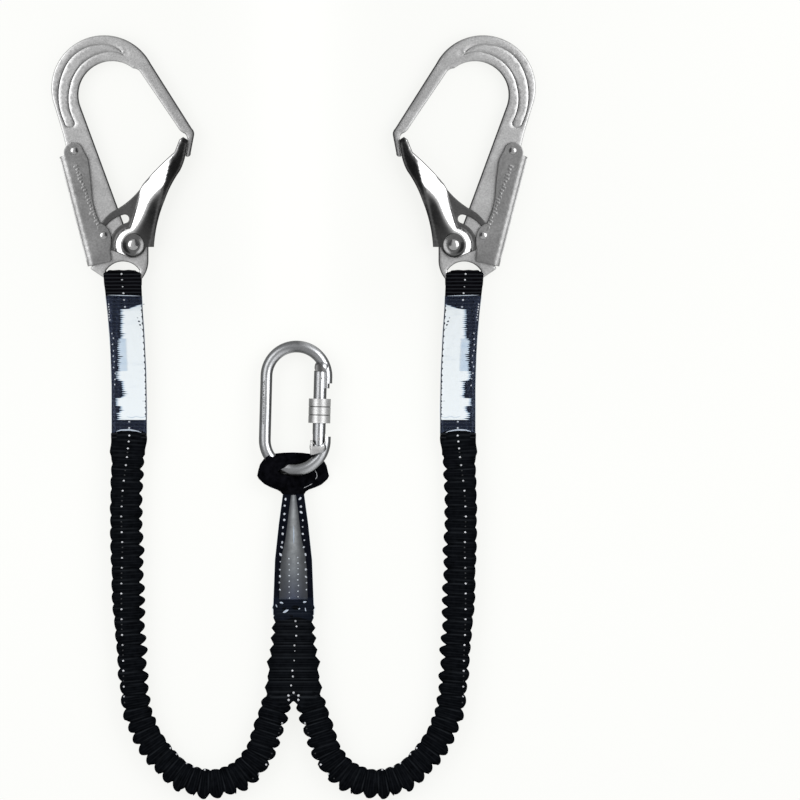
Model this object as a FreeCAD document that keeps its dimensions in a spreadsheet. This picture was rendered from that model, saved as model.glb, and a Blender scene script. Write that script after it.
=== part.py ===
import FreeCAD, Part
import math
import os
import Sketcher

# Twin-leg shock absorbing lanyard laid flat.
# Frame: X to the right, Y towards the hooks, Z up from the surface it lies on (z = 0).
# The origin is the middle of the laid-out lanyard, on the surface it lies on.
# The left hook, left leg and the centre parts are drawn; the right side is their mirror image.

doc = FreeCAD.newDocument("shock_absorbing_lanyard")
sheet = doc.addObject("Spreadsheet::Sheet", "sizes")

SIZES = [
    ("hook_x", -128.2, "gate pivot of the left hook, X"),
    ("hook_y", 138.2, "gate pivot of the left hook, Y"),
    ("hook_z", 9.0, "mid-plane of the hooks and of the legs"),
    ("plate_thick", 5.0, "pressed hook plate"),
    ("groove_depth", 0.6, "depth of the crescent stiffening groove"),
    ("bow_radius", 26.9, "inside radius of the hook bow"),
    ("bow_x", -16.9, "centre of the bow measured from the gate pivot, X"),
    ("bow_y", 119.9, "centre of the bow measured from the gate pivot, Y"),
    ("back_radius", 42.2, "outside radius of the hook bow"),
    ("back_x", -23.4, "centre of the outside radius, X"),
    ("back_y", 125.4, "centre of the outside radius, Y"),
    ("gate_flat_out", 4.3, "outer face of the flat gate arms from the mid-plane"),
    ("gate_flat_in", 2.8, "inner face of the flat gate arms from the mid-plane"),
    ("gate_bulge_out", 6.5, "outer face of the bulged gate from the mid-plane"),
    ("gate_bulge_in", 5.0, "inner face of the bulged gate from the mid-plane"),
    ("sheet_wall", 1.5, "sheet thickness of gate and lever"),
    ("gate_rivet_r", 3.0, "gate rivet shaft"),
    ("gate_rivet_head_r", 4.55, "gate rivet head"),
    ("washer_r", 8.9, "gate rivet washer"),
    ("washer_thick", 0.6, "gate rivet washer"),
    ("rivet_head_high", 1.35, "dome height of every rivet head"),
    ("lever_out", 6.1, "outer face of the lever from the mid-plane"),
    ("lever_in", 4.6, "inner face of the lever from the mid-plane"),
    ("lever_x", -47.4, "lever rivet from the gate pivot, X"),
    ("lever_y", 75.3, "lever rivet from the gate pivot, Y"),
    ("lever_rivet_r", 2.2, "lever rivet shaft"),
    ("small_head_r", 3.25, "head of lever rivet and lock pin"),
    ("lock_x", -23.8, "lock pin from the gate pivot, X"),
    ("lock_y", 7.4, "lock pin from the gate pivot, Y"),
    ("lock_pin_r", 2.0, "lock pin shaft"),
    ("running_gap", 0.05, "radial clearance of pins in holes"),
    ("spring_wire_r", 0.4, "wire radius of the torsion springs"),
    ("gate_spring_r", 4.3, "coil radius of the gate spring"),
    ("lever_spring_r", 3.4, "coil radius of the lever spring"),
    ("eye_bar_y", -29.8, "middle of the webbing eye bar from the gate pivot, Y"),
    ("eye_mid_x", -8.3, "middle of the webbing eye from the gate pivot, X"),
    ("loop_bore_r", 5.1, "inside radius of the webbing loop round the eye bar"),
    ("loop_wall", 1.8, "thickness of the loop webbing"),
    ("loop_width", 23.6, "webbing width squeezed in the eye"),
    ("tail_half_thick", 5.0, "half thickness of the sewn webbing stack"),
    ("tail_half_wide", 13.6, "half width of the sewn webbing stack"),
    ("tail_end_y", -12.8, "lower end of the sewn webbing stack, Y"),
    ("tail_end_x", -131.3, "lower end of the sewn webbing stack, X"),
    ("sleeve_top_y", 98.0, "upper end of the clear hook-end sleeve, Y"),
    ("sleeve_wall", 0.6, "wall of the clear sleeves"),
    ("sleeve_gap", 0.9, "gap between webbing and clear sleeve"),
    ("leg_half_wide", 13.2, "half width of the gathered leg jacket"),
    ("leg_half_high", 9.0, "half height of the gathered leg jacket"),
    ("jacket_wall", 2.0, "thickness of the gathered jacket"),
    ("core_half_wide", 9.0, "half width of the load and tear webbing"),
    ("core_half_thick", 1.2, "half thickness of the load and tear webbing"),
    ("cord_r", 1.5, "radius of the elastic cords"),
    ("cord_offset", 4.0, "elastic cords beside the middle of the leg"),
        ("bar_r", 4.75, "carabiner bar radius"),
    ("bow_half_wide", 24.0, "carabiner centreline half width"),
    ("straight_half", 25.4, "half length of the straight carabiner stem"),
    ("carabiner_x", 0.9, "centre of the carabiner, X"),
    ("carabiner_y", 7.4, "centre of the carabiner, Y"),
    ("carabiner_z", 10.5, "mid-plane of the carabiner"),
    ("carabiner_tilt", -1.5, "clockwise lean of the carabiner in degrees"),
    ("gate_axis_x", 20.0, "carabiner gate axis from its centre, X"),
    ("gate_tube_r", 5.2, "carabiner gate radius"),
    ("gate_top_y", 30.5, "upper end of the carabiner gate"),
    ("hinge_pin_y", -24.1, "carabiner hinge pin"),
    ("latch_pin_y", 24.4, "carabiner latch pin"),
    ("small_pin_r", 1.25, "carabiner hinge and latch pins"),
    ("tongue_half", 1.6, "half thickness of the hinge tongue"),
    ("tang_half", 1.5, "half thickness of the nose tang"),
    ("nut_r", 8.8, "locking sleeve outside radius"),
    ("nut_half", 9.75, "locking sleeve half length"),
    ("nut_mid_y", -1.6, "locking sleeve middle when unlocked"),
    ("nose_tip_r", 7.5, "radius the locking sleeve passes over the nose"),
    ("choke_low", 0.9, "choke loop underside"),
    ("choke_high", 19.4, "choke loop top where it passes over the bar"),
    ("choke_ply", 3.5, "thickness of one choke loop layer"),
]


def fill_sheet():
    for row, (alias, value, note) in enumerate(SIZES, start=1):
        sheet.set("A%d" % row, note)
        sheet.set("B%d" % row, str(value))
        sheet.setAlias("B%d" % row, alias)
    doc.recompute()


def size(alias):
    return float(sheet.get(alias))


def vec(x, y, z=0.0):
    return FreeCAD.Vector(x, y, z)


def polar(centre_x, centre_y, radius, degrees):
    angle = math.radians(degrees)
    return centre_x + radius * math.cos(angle), centre_y + radius * math.sin(angle)


fill_sheet()
HOOK_ORIGIN = vec(size("hook_x"), size("hook_y"), size("hook_z"))


# ---------------------------------------------------------------- drawing helpers

class Pen:
    """Draws one closed outline of lines and three-point arcs."""

    def __init__(self, x, y):
        self.first = (x, y)
        self.last = (x, y)
        self.pieces = []

    def line(self, x, y):
        self.pieces.append(Part.LineSegment(vec(*self.last), vec(x, y)))
        self.last = (x, y)
        return self

    def arc(self, mid_x, mid_y, x, y):
        self.pieces.append(Part.Arc(vec(*self.last), vec(mid_x, mid_y), vec(x, y)))
        self.last = (x, y)
        return self

    def close(self):
        return self.line(*self.first)

    def into(self, sketch):
        for index, piece in enumerate(self.pieces):
            sketch.addGeometry(piece, False)
            sketch.addConstraint(Sketcher.Constraint("Block", index))

    def face(self):
        return Part.Face(Part.Wire([piece.toShape() for piece in self.pieces]))


def new_body(label, origin=None):
    body = doc.addObject("PartDesign::Body", label)
    body.Label = label
    body.Placement.Base = origin or vec(0, 0, 0)
    return body


def plane_of(body, role):
    return [item for item in body.Origin.OriginFeatures if item.Role == role][0]


def new_sketch(body, name, role="XY_Plane"):
    sketch = body.newObject("Sketcher::SketchObject", name)
    sketch.AttachmentSupport = [(plane_of(body, role), "")]
    sketch.MapMode = "FlatFace"
    return sketch


def pad(body, sketch, name, length):
    feature = body.newObject("PartDesign::Pad", name)
    feature.Profile = sketch
    feature.Midplane = True
    feature.setExpression("Length", length)
    sketch.Visibility = False
    doc.recompute()
    return feature


def cut_slab(body, sketch, name, length):
    feature = body.newObject("PartDesign::Pocket", name)
    feature.Profile = sketch
    feature.Midplane = True
    feature.setExpression("Length", length)
    doc.recompute()
    return feature


def cut_hole(body, name, x, y, radius):
    sketch = new_sketch(body, name + "_sketch")
    sketch.addGeometry(Part.Circle(vec(size(x) if x else 0, size(y) if y else 0), vec(0, 0, 1), 3.0), False)
    sketch.addConstraint(Sketcher.Constraint("Radius", 0, 3.0))
    sketch.setExpression("Constraints[0]", radius)
    feature = body.newObject("PartDesign::Pocket", name)
    feature.Profile = sketch
    feature.Type = 1
    feature.Midplane = True
    doc.recompute()
    return feature


def code_part(label, shape, origin=None, rotation=None):
    feature = doc.addObject("Part::Feature", label)
    feature.Label = label
    feature.Shape = shape
    placement = FreeCAD.Placement(origin or vec(0, 0, 0), rotation or FreeCAD.Rotation())
    feature.Placement = placement.multiply(shape.Placement)
    return feature


# ---------------------------------------------------------------- hook plate

def hook_outline():
    bow = (size("bow_x"), size("bow_y"), size("bow_radius"))
    back = (size("back_x"), size("back_y"), size("back_radius"))
    back_start = polar(*back, 201.0)
    back_end = polar(*back, 27.7)
    bow_start = polar(*bow, 51.8)
    bow_end = polar(*bow, 200.2)
    pen = Pen(*back_end)
    pen.line(46.9, 93.0)
    pen.arc(48.6, 90.2, 48.6, 87.0)
    pen.line(46.0, 73.5)
    pen.arc(44.6, 70.6, 41.8, 70.9)
    pen.line(43.0, 84.3)
    pen.arc(42.6, 87.2, 40.8, 89.1)
    pen.arc(37.9, 90.9, 35.6, 93.9)
    pen.line(6.1, 137.3)
    pen.arc(3.2, 140.2, *bow_start)
    pen.arc(*polar(*bow, 123.4), *bow_end)
    pen.line(-6.0, 12.3)
    pen.arc(6.5, 11.3, 12.2, 1.0)
    pen.line(12.2, -12.2)
    pen.arc(10.9, -20.2, 7.0, -27.2)
    pen.line(6.9, -32.0)
    pen.arc(6.3, -33.4, 4.9, -34.0)
    pen.line(-21.5, -34.0)
    pen.arc(-22.9, -33.4, -23.5, -32.0)
    pen.line(-23.7, -26.4)
    pen.line(-33.2, -20.0)
    pen.arc(-34.0, -19.0, -33.4, -17.6)
    pen.line(-31.8, -12.0)
    pen.line(-54.0, 69.0)
    pen.line(-53.8, 78.2)
    pen.line(-56.3, 88.7)
    pen.line(*back_start)
    pen.arc(*polar(*back, 114.0), *back_end)
    return pen


def groove_outline():
    pen = Pen(-54.2, 96.6)
    pen.arc(-59.7, 118.0, -54.6, 141.6)
    pen.arc(-43.0, 155.0, -26.9, 160.0)
    pen.arc(-16.0, 158.4, -6.1, 153.6)
    pen.arc(-16.5, 154.6, -26.0, 153.2)
    pen.arc(-42.0, 143.4, -50.4, 126.5)
    pen.arc(-51.2, 112.0, -46.8, 98.2)
    pen.arc(-50.6, 94.4, -54.2, 96.6)
    return pen


def eye_outline():
    pen = Pen(-20.4, -25.6)
    pen.line(3.8, -25.6)
    pen.line(5.2, -20.8)
    pen.arc(-8.0, -13.4, -21.7, -20.8)
    pen.close()
    return pen


def lock_slot_outline():
    reach = size("lock_pin_r") + 0.3
    end_x = size("lock_x") + 3.2
    end_y = size("lock_y") + 1.1
    rise = math.radians(19.0)
    side_x = reach * math.sin(rise)
    side_y = reach * math.cos(rise)
    tip_x = reach * math.cos(rise)
    tip_y = reach * math.sin(rise)
    start_x = size("lock_x")
    start_y = size("lock_y")
    pen = Pen(start_x - side_x, start_y + side_y)
    pen.line(end_x - side_x, end_y + side_y)
    pen.arc(end_x + tip_x, end_y + tip_y, end_x + side_x, end_y - side_y)
    pen.line(start_x + side_x, start_y - side_y)
    pen.arc(start_x - tip_x, start_y - tip_y, start_x - side_x, start_y + side_y)
    return pen


def groove_pocket(body, name, reverse):
    sketch = new_sketch(body, name + "_sketch")
    groove_outline().into(sketch)
    shift = "(sizes.plate_thick / 2 - sizes.groove_depth) * 1 mm"
    sketch.setExpression("AttachmentOffset.Base.z", ("-" if reverse else "") + shift)
    feature = body.newObject("PartDesign::Pocket", name)
    feature.Profile = sketch
    feature.Reversed = not reverse
    feature.setExpression("Length", "sizes.groove_depth + 0.5")
    doc.recompute()


def build_hook_body():
    body = new_body("left_hook_body", HOOK_ORIGIN)
    sketch = new_sketch(body, "hook_outline")
    hook_outline().into(sketch)
    pad(body, sketch, "hook_plate", "sizes.plate_thick")
    eye = new_sketch(body, "eye_outline")
    eye_outline().into(eye)
    cut_slab(body, eye, "webbing_eye", "sizes.plate_thick + 2")
    slot = new_sketch(body, "lock_slot_outline")
    lock_slot_outline().into(slot)
    cut_slab(body, slot, "lock_pin_slot", "sizes.plate_thick + 2")
    cut_hole(body, "gate_rivet_hole", None, None, "sizes.gate_rivet_r + sizes.running_gap")
    cut_hole(body, "lever_rivet_hole", "lever_x", "lever_y", "sizes.lever_rivet_r + sizes.running_gap")
    groove_pocket(body, "front_groove", False)
    groove_pocket(body, "rear_groove", True)
    return body


# ---------------------------------------------------------------- hook gate

def gate_right_edge(pen):
    pen.line(43.8, 83.7)
    pen.line(41.7, 71.1)
    pen.arc(39.9, 64.8, 37.3, 59.0)
    pen.arc(30.4, 47.7, 25.2, 35.6)
    pen.arc(19.8, 19.2, 16.6, -1.8)


def gate_flat_outline():
    pen = Pen(33.0, 74.2)
    pen.line(36.9, 84.1)
    pen.line(39.9, 86.3)
    gate_right_edge(pen)
    pen.line(10.2, -1.8)
    pen.arc(1.8, -10.0, -8.0, -8.0)
    pen.line(-17.6, -4.2)
    pen.arc(*polar(0, 0, 18.4, 165.0), *polar(0, 0, 18.4, 108.0))
    pen.arc(-3.5, 21.8, *polar(0, 0, 25.2, 108.0))
    pen.arc(*polar(0, 0, 25.9, 128.5), *polar(0, 0, 26.7, 149.0))
    pen.line(-25.6, 17.4)
    pen.arc(-19.3, 24.5, -12.1, 29.1)
    pen.arc(-2.0, 36.6, 5.2, 44.2)
    pen.line(7.8, 48.6)
    pen.line(16.5, 58.1)
    pen.close()
    return pen


def gate_bulge_outline(inset):
    pen = Pen(33.0 + inset, 74.2)
    pen.line(36.9 + inset, 84.1 - inset)
    pen.line(39.9, 86.3 - inset)
    pen.line(43.8 - inset, 83.7 - inset)
    pen.line(41.7 - inset, 71.1)
    pen.arc(39.9 - inset, 64.8, 37.3 - inset, 59.0)
    pen.arc(30.4 - inset, 47.7, 25.2 - inset, 35.6)
    pen.arc(19.8 - inset, 19.2, 16.6 - inset, -1.8 + inset)
    pen.line(10.2, -1.8 + inset)
    pen.arc(1.8, -10.0 + inset, -8.0 + inset, -8.0 + inset)
    pen.arc(-13.2 + inset, 1.5, -2.8 + inset, 13.2 - inset)
    pen.arc(2.4 + inset, 29.0, 8.4 + inset, 42.0)
    pen.line(7.8 + 1.6 * inset, 48.6)
    pen.line(16.5 + inset, 58.1 - inset)
    pen.close()
    return pen


def gate_inner_cut():
    pen = Pen(-40.0, -20.0)
    pen.line(60.0, -20.0)
    pen.line(60.0, 100.0)
    pen.line(38.6, 86.0)
    pen.line(34.6, 73.5)
    pen.line(17.6, 56.6)
    pen.line(-40.0, 56.6)
    pen.close()
    return pen


def build_gate():
    body = new_body("left_gate", HOOK_ORIGIN)
    flat = new_sketch(body, "gate_flat")
    gate_flat_outline().into(flat)
    pad(body, flat, "gate_arms", "sizes.gate_flat_out * 2")
    bulge = new_sketch(body, "gate_bulge")
    gate_bulge_outline(0.0).into(bulge)
    pad(body, bulge, "gate_bulge_pad", "sizes.gate_bulge_out * 2")
    inner = new_sketch(body, "gate_inner")
    gate_inner_cut().into(inner)
    cut_slab(body, inner, "gate_slit", "sizes.gate_flat_in * 2")
    hollow = new_sketch(body, "gate_hollow")
    gate_bulge_outline(size("sheet_wall")).into(hollow)
    cut_slab(body, hollow, "gate_hollow_cut", "sizes.gate_bulge_in * 2")
    cut_hole(body, "gate_pivot_hole", None, None, "sizes.gate_rivet_r + sizes.running_gap")
    return body


# ---------------------------------------------------------------- lock lever

def lever_outline():
    pen = Pen(-59.0, 70.2)
    pen.line(-55.2, 71.6)
    pen.arc(-52.0, 80.4, -47.0, 81.6)
    pen.arc(-42.6, 80.2, -40.4, 76.4)
    pen.line(-36.2, 68.8)
    pen.arc(-34.6, 58.0, -33.4, 45.0)
    pen.arc(-31.2, 30.0, -26.6, 17.5)
    pen.arc(-20.6, 13.4, -18.0, 8.0)
    pen.arc(-17.6, 1.5, -18.4, -4.0)
    pen.line(-17.6, -11.0)
    pen.arc(-18.0, -13.0, -20.0, -13.8)
    pen.line(-36.4, -17.4)
    pen.close()
    return pen


def lever_inner_cut():
    pen = Pen(-57.4, 70.4)
    pen.line(-35.8, -13.0)
    pen.line(-45.0, -22.0)
    pen.line(0.0, -22.0)
    pen.line(0.0, 95.0)
    pen.line(-70.0, 95.0)
    pen.line(-70.0, 70.4)
    pen.close()
    return pen


def build_lever():
    body = new_body("left_lock_lever", HOOK_ORIGIN)
    outline = new_sketch(body, "lever_outline")
    lever_outline().into(outline)
    pad(body, outline, "lever_pad", "sizes.lever_out * 2")
    inner = new_sketch(body, "lever_inner")
    lever_inner_cut().into(inner)
    cut_slab(body, inner, "lever_channel", "sizes.lever_in * 2")
    cut_hole(body, "lever_pivot_hole", "lever_x", "lever_y", "sizes.lever_rivet_r + sizes.running_gap")
    cut_hole(body, "lock_pin_hole", "lock_x", "lock_y", "sizes.lock_pin_r + sizes.running_gap")
    return body


# ---------------------------------------------------------------- rivets, pins, washers, springs

def build_rivet(label, x, y, shaft, head, face):
    """Shaft with a domed head on each side; face is the outer surface the heads sit on."""
    body = new_body(label, HOOK_ORIGIN + vec(size(x) if x else 0, size(y) if y else 0, 0))
    high = size("rivet_head_high")
    sketch = new_sketch(body, label + "_profile", "XZ_Plane")
    crown = 0.45 * size(head)
    pen = Pen(0.0, -face - high)
    pen.line(crown, -face - high)
    pen.arc(0.84 * size(head), -face - 0.72 * high, size(head), -face)
    pen.line(size(shaft), -face)
    pen.line(size(shaft), face)
    pen.line(size(head), face)
    pen.arc(0.84 * size(head), face + 0.72 * high, crown, face + high)
    pen.line(0.0, face + high)
    pen.close()
    pen.into(sketch)
    turn = body.newObject("PartDesign::Revolution", label + "_turned")
    turn.Profile = sketch
    turn.ReferenceAxis = (sketch, ["V_Axis"])
    turn.Angle = 360.0
    doc.recompute()
    return body


def build_washers():
    low = size("gate_bulge_out") + size("running_gap")
    outer = size("washer_r")
    inner = size("gate_rivet_r") + size("running_gap")
    thick = size("washer_thick")
    disc = Part.makeCylinder(outer, thick, vec(0, 0, low)).cut(Part.makeCylinder(inner, thick, vec(0, 0, low)))
    other = disc.mirror(vec(0, 0, 0), vec(0, 0, 1))
    return code_part("left_gate_washers", Part.Compound([disc, other]), HOOK_ORIGIN)


def torsion_spring(coil_r, wire_r, low, turns, pitch, start_deg, leg):
    """Wire with a tangent leg at each end of a short helix."""
    points = []
    steps = 36
    total = 360.0 * turns
    for step in range(steps + 1):
        angle = math.radians(start_deg + total * step / steps)
        height = low + wire_r + pitch * turns * step / steps
        points.append(vec(coil_r * math.cos(angle), coil_r * math.sin(angle), height))
    start = math.radians(start_deg)
    end = math.radians(start_deg + total)
    first = points[0] - vec(-math.sin(start), math.cos(start)) * leg
    last = points[-1] + vec(-math.sin(end), math.cos(end)) * leg
    curve = Part.BSplineCurve()
    curve.interpolate([first] + points + [last])
    path = Part.Wire([curve.toShape()])
    tangent = curve.tangent(curve.FirstParameter)[0]
    profile = Part.Wire([Part.Circle(first, tangent, wire_r).toShape()])
    return path.makePipeShell([profile], True, True)


def build_springs():
    gate_low = size("plate_thick") / 2 + 0.17
    gate_coil = torsion_spring(size("gate_spring_r"), size("spring_wire_r"), gate_low, 1.5, 0.9, 150.0, 5.5)
    code_part("left_gate_spring", gate_coil, HOOK_ORIGIN)
    lever_low = size("plate_thick") / 2 + 0.08
    lever_coil = torsion_spring(size("lever_spring_r"), size("spring_wire_r"), lever_low, 1.25, 0.9, 170.0, 6.0)
    place = HOOK_ORIGIN + vec(size("lever_x"), size("lever_y"), 0)
    code_part("left_lever_spring", lever_coil, place)


# ---------------------------------------------------------------- webbing at the hook end

def eye_axis():
    return HOOK_ORIGIN + vec(size("eye_mid_x"), size("eye_bar_y"), 0)


def leaning_slab(half_wide, half_thick, top_y, bottom_y):
    """Flat block that follows the slight lean of the sewn stack."""
    axis = eye_axis()
    top_x = axis.x
    lean = (size("tail_end_x") - top_x) / (size("tail_end_y") - axis.y)
    high_x = top_x + lean * (top_y - axis.y)
    low_x = top_x + lean * (bottom_y - axis.y)
    pen = Pen(high_x - half_wide, top_y)
    pen.line(high_x + half_wide, top_y)
    pen.line(low_x + half_wide, bottom_y)
    pen.line(low_x - half_wide, bottom_y)
    pen.close()
    block = pen.face().extrude(vec(0, 0, 2 * half_thick))
    block.translate(vec(0, 0, size("hook_z") - half_thick))
    return block


def build_hook_loop():
    axis = eye_axis()
    wide = size("loop_width")
    outer = size("loop_bore_r") + size("loop_wall")
    start = axis - vec(wide / 2, 0, 0)
    drum = Part.makeCylinder(outer, wide, start, vec(1, 0, 0))
    neck = Part.makeBox(wide, 12.0, 2 * size("tail_half_thick"))
    neck.translate(vec(start.x, axis.y - 16.0, axis.z - size("tail_half_thick")))
    tail = leaning_slab(size("tail_half_wide"), size("tail_half_thick"), axis.y - 13.5, size("tail_end_y"))
    bore = Part.makeCylinder(size("loop_bore_r"), wide + 2, start - vec(1, 0, 0), vec(1, 0, 0))
    shape = drum.fuse(neck).fuse(tail).cut(bore).removeSplitter()
    code_part("left_hook_loop", shape)


def build_clear_sleeve():
    wall = size("sleeve_wall")
    gap = size("sleeve_gap")
    inner_wide = size("tail_half_wide") + gap
    inner_thick = size("tail_half_thick") + gap
    top = size("sleeve_top_y")
    low = size("tail_end_y") + 2.0
    outer = leaning_slab(inner_wide + wall, inner_thick + wall, top, low)
    long_edges = [edge for edge in outer.Edges if edge.Length > 60]
    outer = outer.makeFillet(2.6, long_edges)
    inner = leaning_slab(inner_wide, inner_thick, top + 1, low - 1)
    long_edges = [edge for edge in inner.Edges if edge.Length > 60]
    inner = inner.makeFillet(2.0, long_edges)
    code_part("left_hook_end_sleeve", outer.cut(inner))


def build_label():
    top = size("hook_z") + size("tail_half_thick") + 0.35
    block = leaning_slab(9.5, 0.2, 88.0, -1.2)
    block.translate(vec(3.0, 0, top - size("hook_z")))
    code_part("left_label", block)


def stitch_row(x_top, y_top, x_low, y_low, z, pitch, long):
    """Short threads along a straight seam."""
    run = math.hypot(x_low - x_top, y_low - y_top)
    count = int(run / pitch)
    threads = []
    for index in range(count):
        part_way = (index + 0.5) / count
        x = x_top + (x_low - x_top) * part_way
        y = y_top + (y_low - y_top) * part_way
        thread = Part.makeBox(0.7, long, 0.25, vec(x - 0.35, y - long / 2, z))
        threads.append(thread)
    return threads


def build_hook_stitching():
    axis = eye_axis()
    lean = (size("tail_end_x") - axis.x) / (size("tail_end_y") - axis.y)
    z = size("hook_z") + size("tail_half_thick") + 0.02
    threads = []
    for side in (-11.6, 12.9):
        top_x = axis.x + side + lean * (92.0 - axis.y)
        low_x = axis.x + side + lean * (-8.0 - axis.y)
        threads += stitch_row(top_x, 92.0, low_x, -8.0, z, 5.0, 3.2)
    code_part("left_hook_end_stitching", Part.Compound(threads))


# ---------------------------------------------------------------- gathered elastic legs

LEG_START = (-131.6, -14.2)
LEG_START_HEADING = -4.45
# length and turn (degrees, positive to the right-hand side) of each stretch
UPPER_STRETCHES = [(69.7, 5.26), (69.2, 1.41)]
LOWER_STRETCHES = [(69.7, 3.89), (71.9, 45.93), (80.5, 108.69), (29.1, 2.94)]


def leg_path(x, y, heading, stretches):
    """Chain of straight lines and tangent arcs in the leg plane."""
    edges = []
    z = size("hook_z")
    for length, turn in stretches:
        start = vec(x, y, z)
        angle = math.radians(turn)
        radius = length / angle
        mid_heading = heading + turn / 4
        half = 2 * radius * math.sin(angle / 4)
        mid = start + vec(math.sin(math.radians(mid_heading)), -math.cos(math.radians(mid_heading))) * half
        end_heading = heading + turn / 2
        chord = 2 * radius * math.sin(angle / 2)
        end = start + vec(math.sin(math.radians(end_heading)), -math.cos(math.radians(end_heading))) * chord
        edges.append(Part.Arc(start, mid, end).toShape())
        x = end.x
        y = end.y
        heading += turn
    return Part.Wire(edges), (x, y, heading)


def ellipse_wire(centre, heading, half_wide, half_high):
    across = vec(math.cos(math.radians(heading)), math.sin(math.radians(heading)))
    up = vec(0, 0, 1)
    if half_wide >= half_high:
        major = centre + across * half_wide
        minor = centre + up * half_high
    else:
        major = centre + up * half_high
        minor = centre + across * half_wide
    return Part.Wire([Part.Ellipse(major, minor, centre).toShape()])


def strap_wire(centre, heading, half_wide, half_thick):
    across = vec(math.cos(math.radians(heading)), math.sin(math.radians(heading)))
    up = vec(0, 0, 1)
    corners = [(1, 1), (-1, 1), (-1, -1), (1, -1), (1, 1)]
    return Part.makePolygon([centre + across * (a * half_wide) + up * (b * half_thick) for a, b in corners])


def swept(path, profile):
    return path.makePipeShell([profile], True, False)


def build_leg(part_name, x, y, heading, stretches):
    path, end = leg_path(x, y, heading, stretches)
    centre = vec(x, y, size("hook_z"))
    wide = size("leg_half_wide")
    high = size("leg_half_high")
    wall = size("jacket_wall")
    outer = swept(path, ellipse_wire(centre, heading, wide, high))
    inner = swept(path, ellipse_wire(centre, heading, wide - wall, high - wall))
    code_part("left_leg_jacket_" + part_name, outer.cut(inner))
    strap_centre = centre - vec(0, 0, 2.6)
    strap = swept(path, strap_wire(strap_centre, heading, size("core_half_wide"), size("core_half_thick")))
    code_part("left_tear_webbing_" + part_name, strap)
    across = vec(math.cos(math.radians(heading)), math.sin(math.radians(heading)))
    tangent = vec(math.sin(math.radians(heading)), -math.cos(math.radians(heading)))
    cords = []
    for side in (-1, 1):
        place = centre + vec(0, 0, 2.4) + across * (side * size("cord_offset"))
        circle = Part.Wire([Part.Circle(place, tangent, size("cord_r")).toShape()])
        cords.append(swept(path, circle))
    code_part("left_elastic_cords_" + part_name, Part.Compound(cords))
    return end


def build_legs():
    x, y, heading = build_leg("upper", *LEG_START, LEG_START_HEADING, UPPER_STRETCHES)
    gap = 0.6
    x += gap * math.sin(math.radians(heading))
    y -= gap * math.cos(math.radians(heading))
    return build_leg("lower", x, y, heading, LOWER_STRETCHES)


# ---------------------------------------------------------------- junction and centre webbing

def build_junction(end):
    """Y-shaped gathered cover where both legs are sewn to the centre webbing."""
    x, y, heading = end
    along = vec(math.sin(math.radians(heading)), -math.cos(math.radians(heading)))
    across = vec(math.cos(math.radians(heading)), math.sin(math.radians(heading)))
    base = vec(x, y) + along * 0.5
    inner = base - across * size("leg_half_wide")
    outer = base + across * size("leg_half_wide")
    if abs(inner.x) > abs(outer.x):
        inner, outer = outer, inner
    pen = Pen(-15.5, -155.2)
    pen.line(15.5, -155.2)
    pen.line(18.5, -185.0)
    pen.line(22.0, -205.0)
    pen.line(-outer.x, outer.y)
    pen.line(-inner.x, inner.y)
    pen.line(0.0, inner.y + 6.0)
    pen.line(inner.x, inner.y)
    pen.line(outer.x, outer.y)
    pen.line(-22.0, -205.0)
    pen.line(-18.5, -185.0)
    pen.close()
    cover = pen.face().extrude(vec(0, 0, 2 * size("leg_half_high") - 2.0))
    cover.translate(vec(0, 0, size("hook_z") - size("leg_half_high") + 1.0))
    code_part("leg_junction_cover", cover)


def tapered_slab(half_top, half_low, y_top, y_low, half_thick):
    pen = Pen(-half_top, y_top)
    pen.line(half_top, y_top)
    pen.line(half_low, y_low)
    pen.line(-half_low, y_low)
    pen.close()
    block = pen.face().extrude(vec(0, 0, 2 * half_thick))
    block.translate(vec(0, 0, size("hook_z") - half_thick))
    return block


def build_centre_webbing():
    stack = tapered_slab(8.2, 13.8, -56.7, -154.6, 4.6)
    code_part("centre_webbing_stack", stack)
    outer = tapered_slab(10.2, 16.4, -61.7, -151.2, 6.6)
    inner = tapered_slab(9.5, 15.7, -60.7, -152.2, 5.9)
    code_part("centre_clear_sleeve", outer.cut(inner))
    z = size("hook_z") + 4.62
    threads = []
    for side in (-1, 1):
        threads += stitch_row(side * 6.8, -65.0, side * 11.8, -147.0, z, 4.4, 2.8)
        threads += stitch_row(side * 3.0, -118.0, side * 3.6, -147.0, z, 4.4, 2.8)
    code_part("centre_stitching", Part.Compound(threads))


def choke_outline():
    pen = Pen(-23.5, -32.8)
    pen.line(-16.9, -29.0)
    pen.arc(0.0, -27.9, 13.2, -29.0)
    pen.line(22.4, -32.8)
    pen.arc(27.2, -39.5, 28.5, -46.8)
    pen.line(22.4, -53.7)
    pen.line(12.2, -56.3)
    pen.line(-12.2, -56.3)
    pen.line(-23.5, -53.2)
    pen.line(-29.1, -46.6)
    pen.arc(-27.9, -39.5, -23.5, -32.8)
    return pen


def choke_front_outline():
    pen = Pen(-23.5, -32.8)
    pen.line(-16.9, -29.0)
    pen.line(-6.0, -28.4)
    pen.line(-2.1, -37.1)
    pen.line(-12.8, -43.0)
    pen.line(-8.0, -48.0)
    pen.line(-8.0, -56.3)
    pen.line(-12.2, -56.3)
    pen.line(-23.5, -53.2)
    pen.line(-29.1, -46.6)
    pen.arc(-27.9, -39.5, -23.5, -32.8)
    return pen


def choke_slab(pen, bottom, top):
    face = pen.face()
    face.translate(vec(0, 0, bottom))
    return face.extrude(vec(0, 0, top - bottom))


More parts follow.
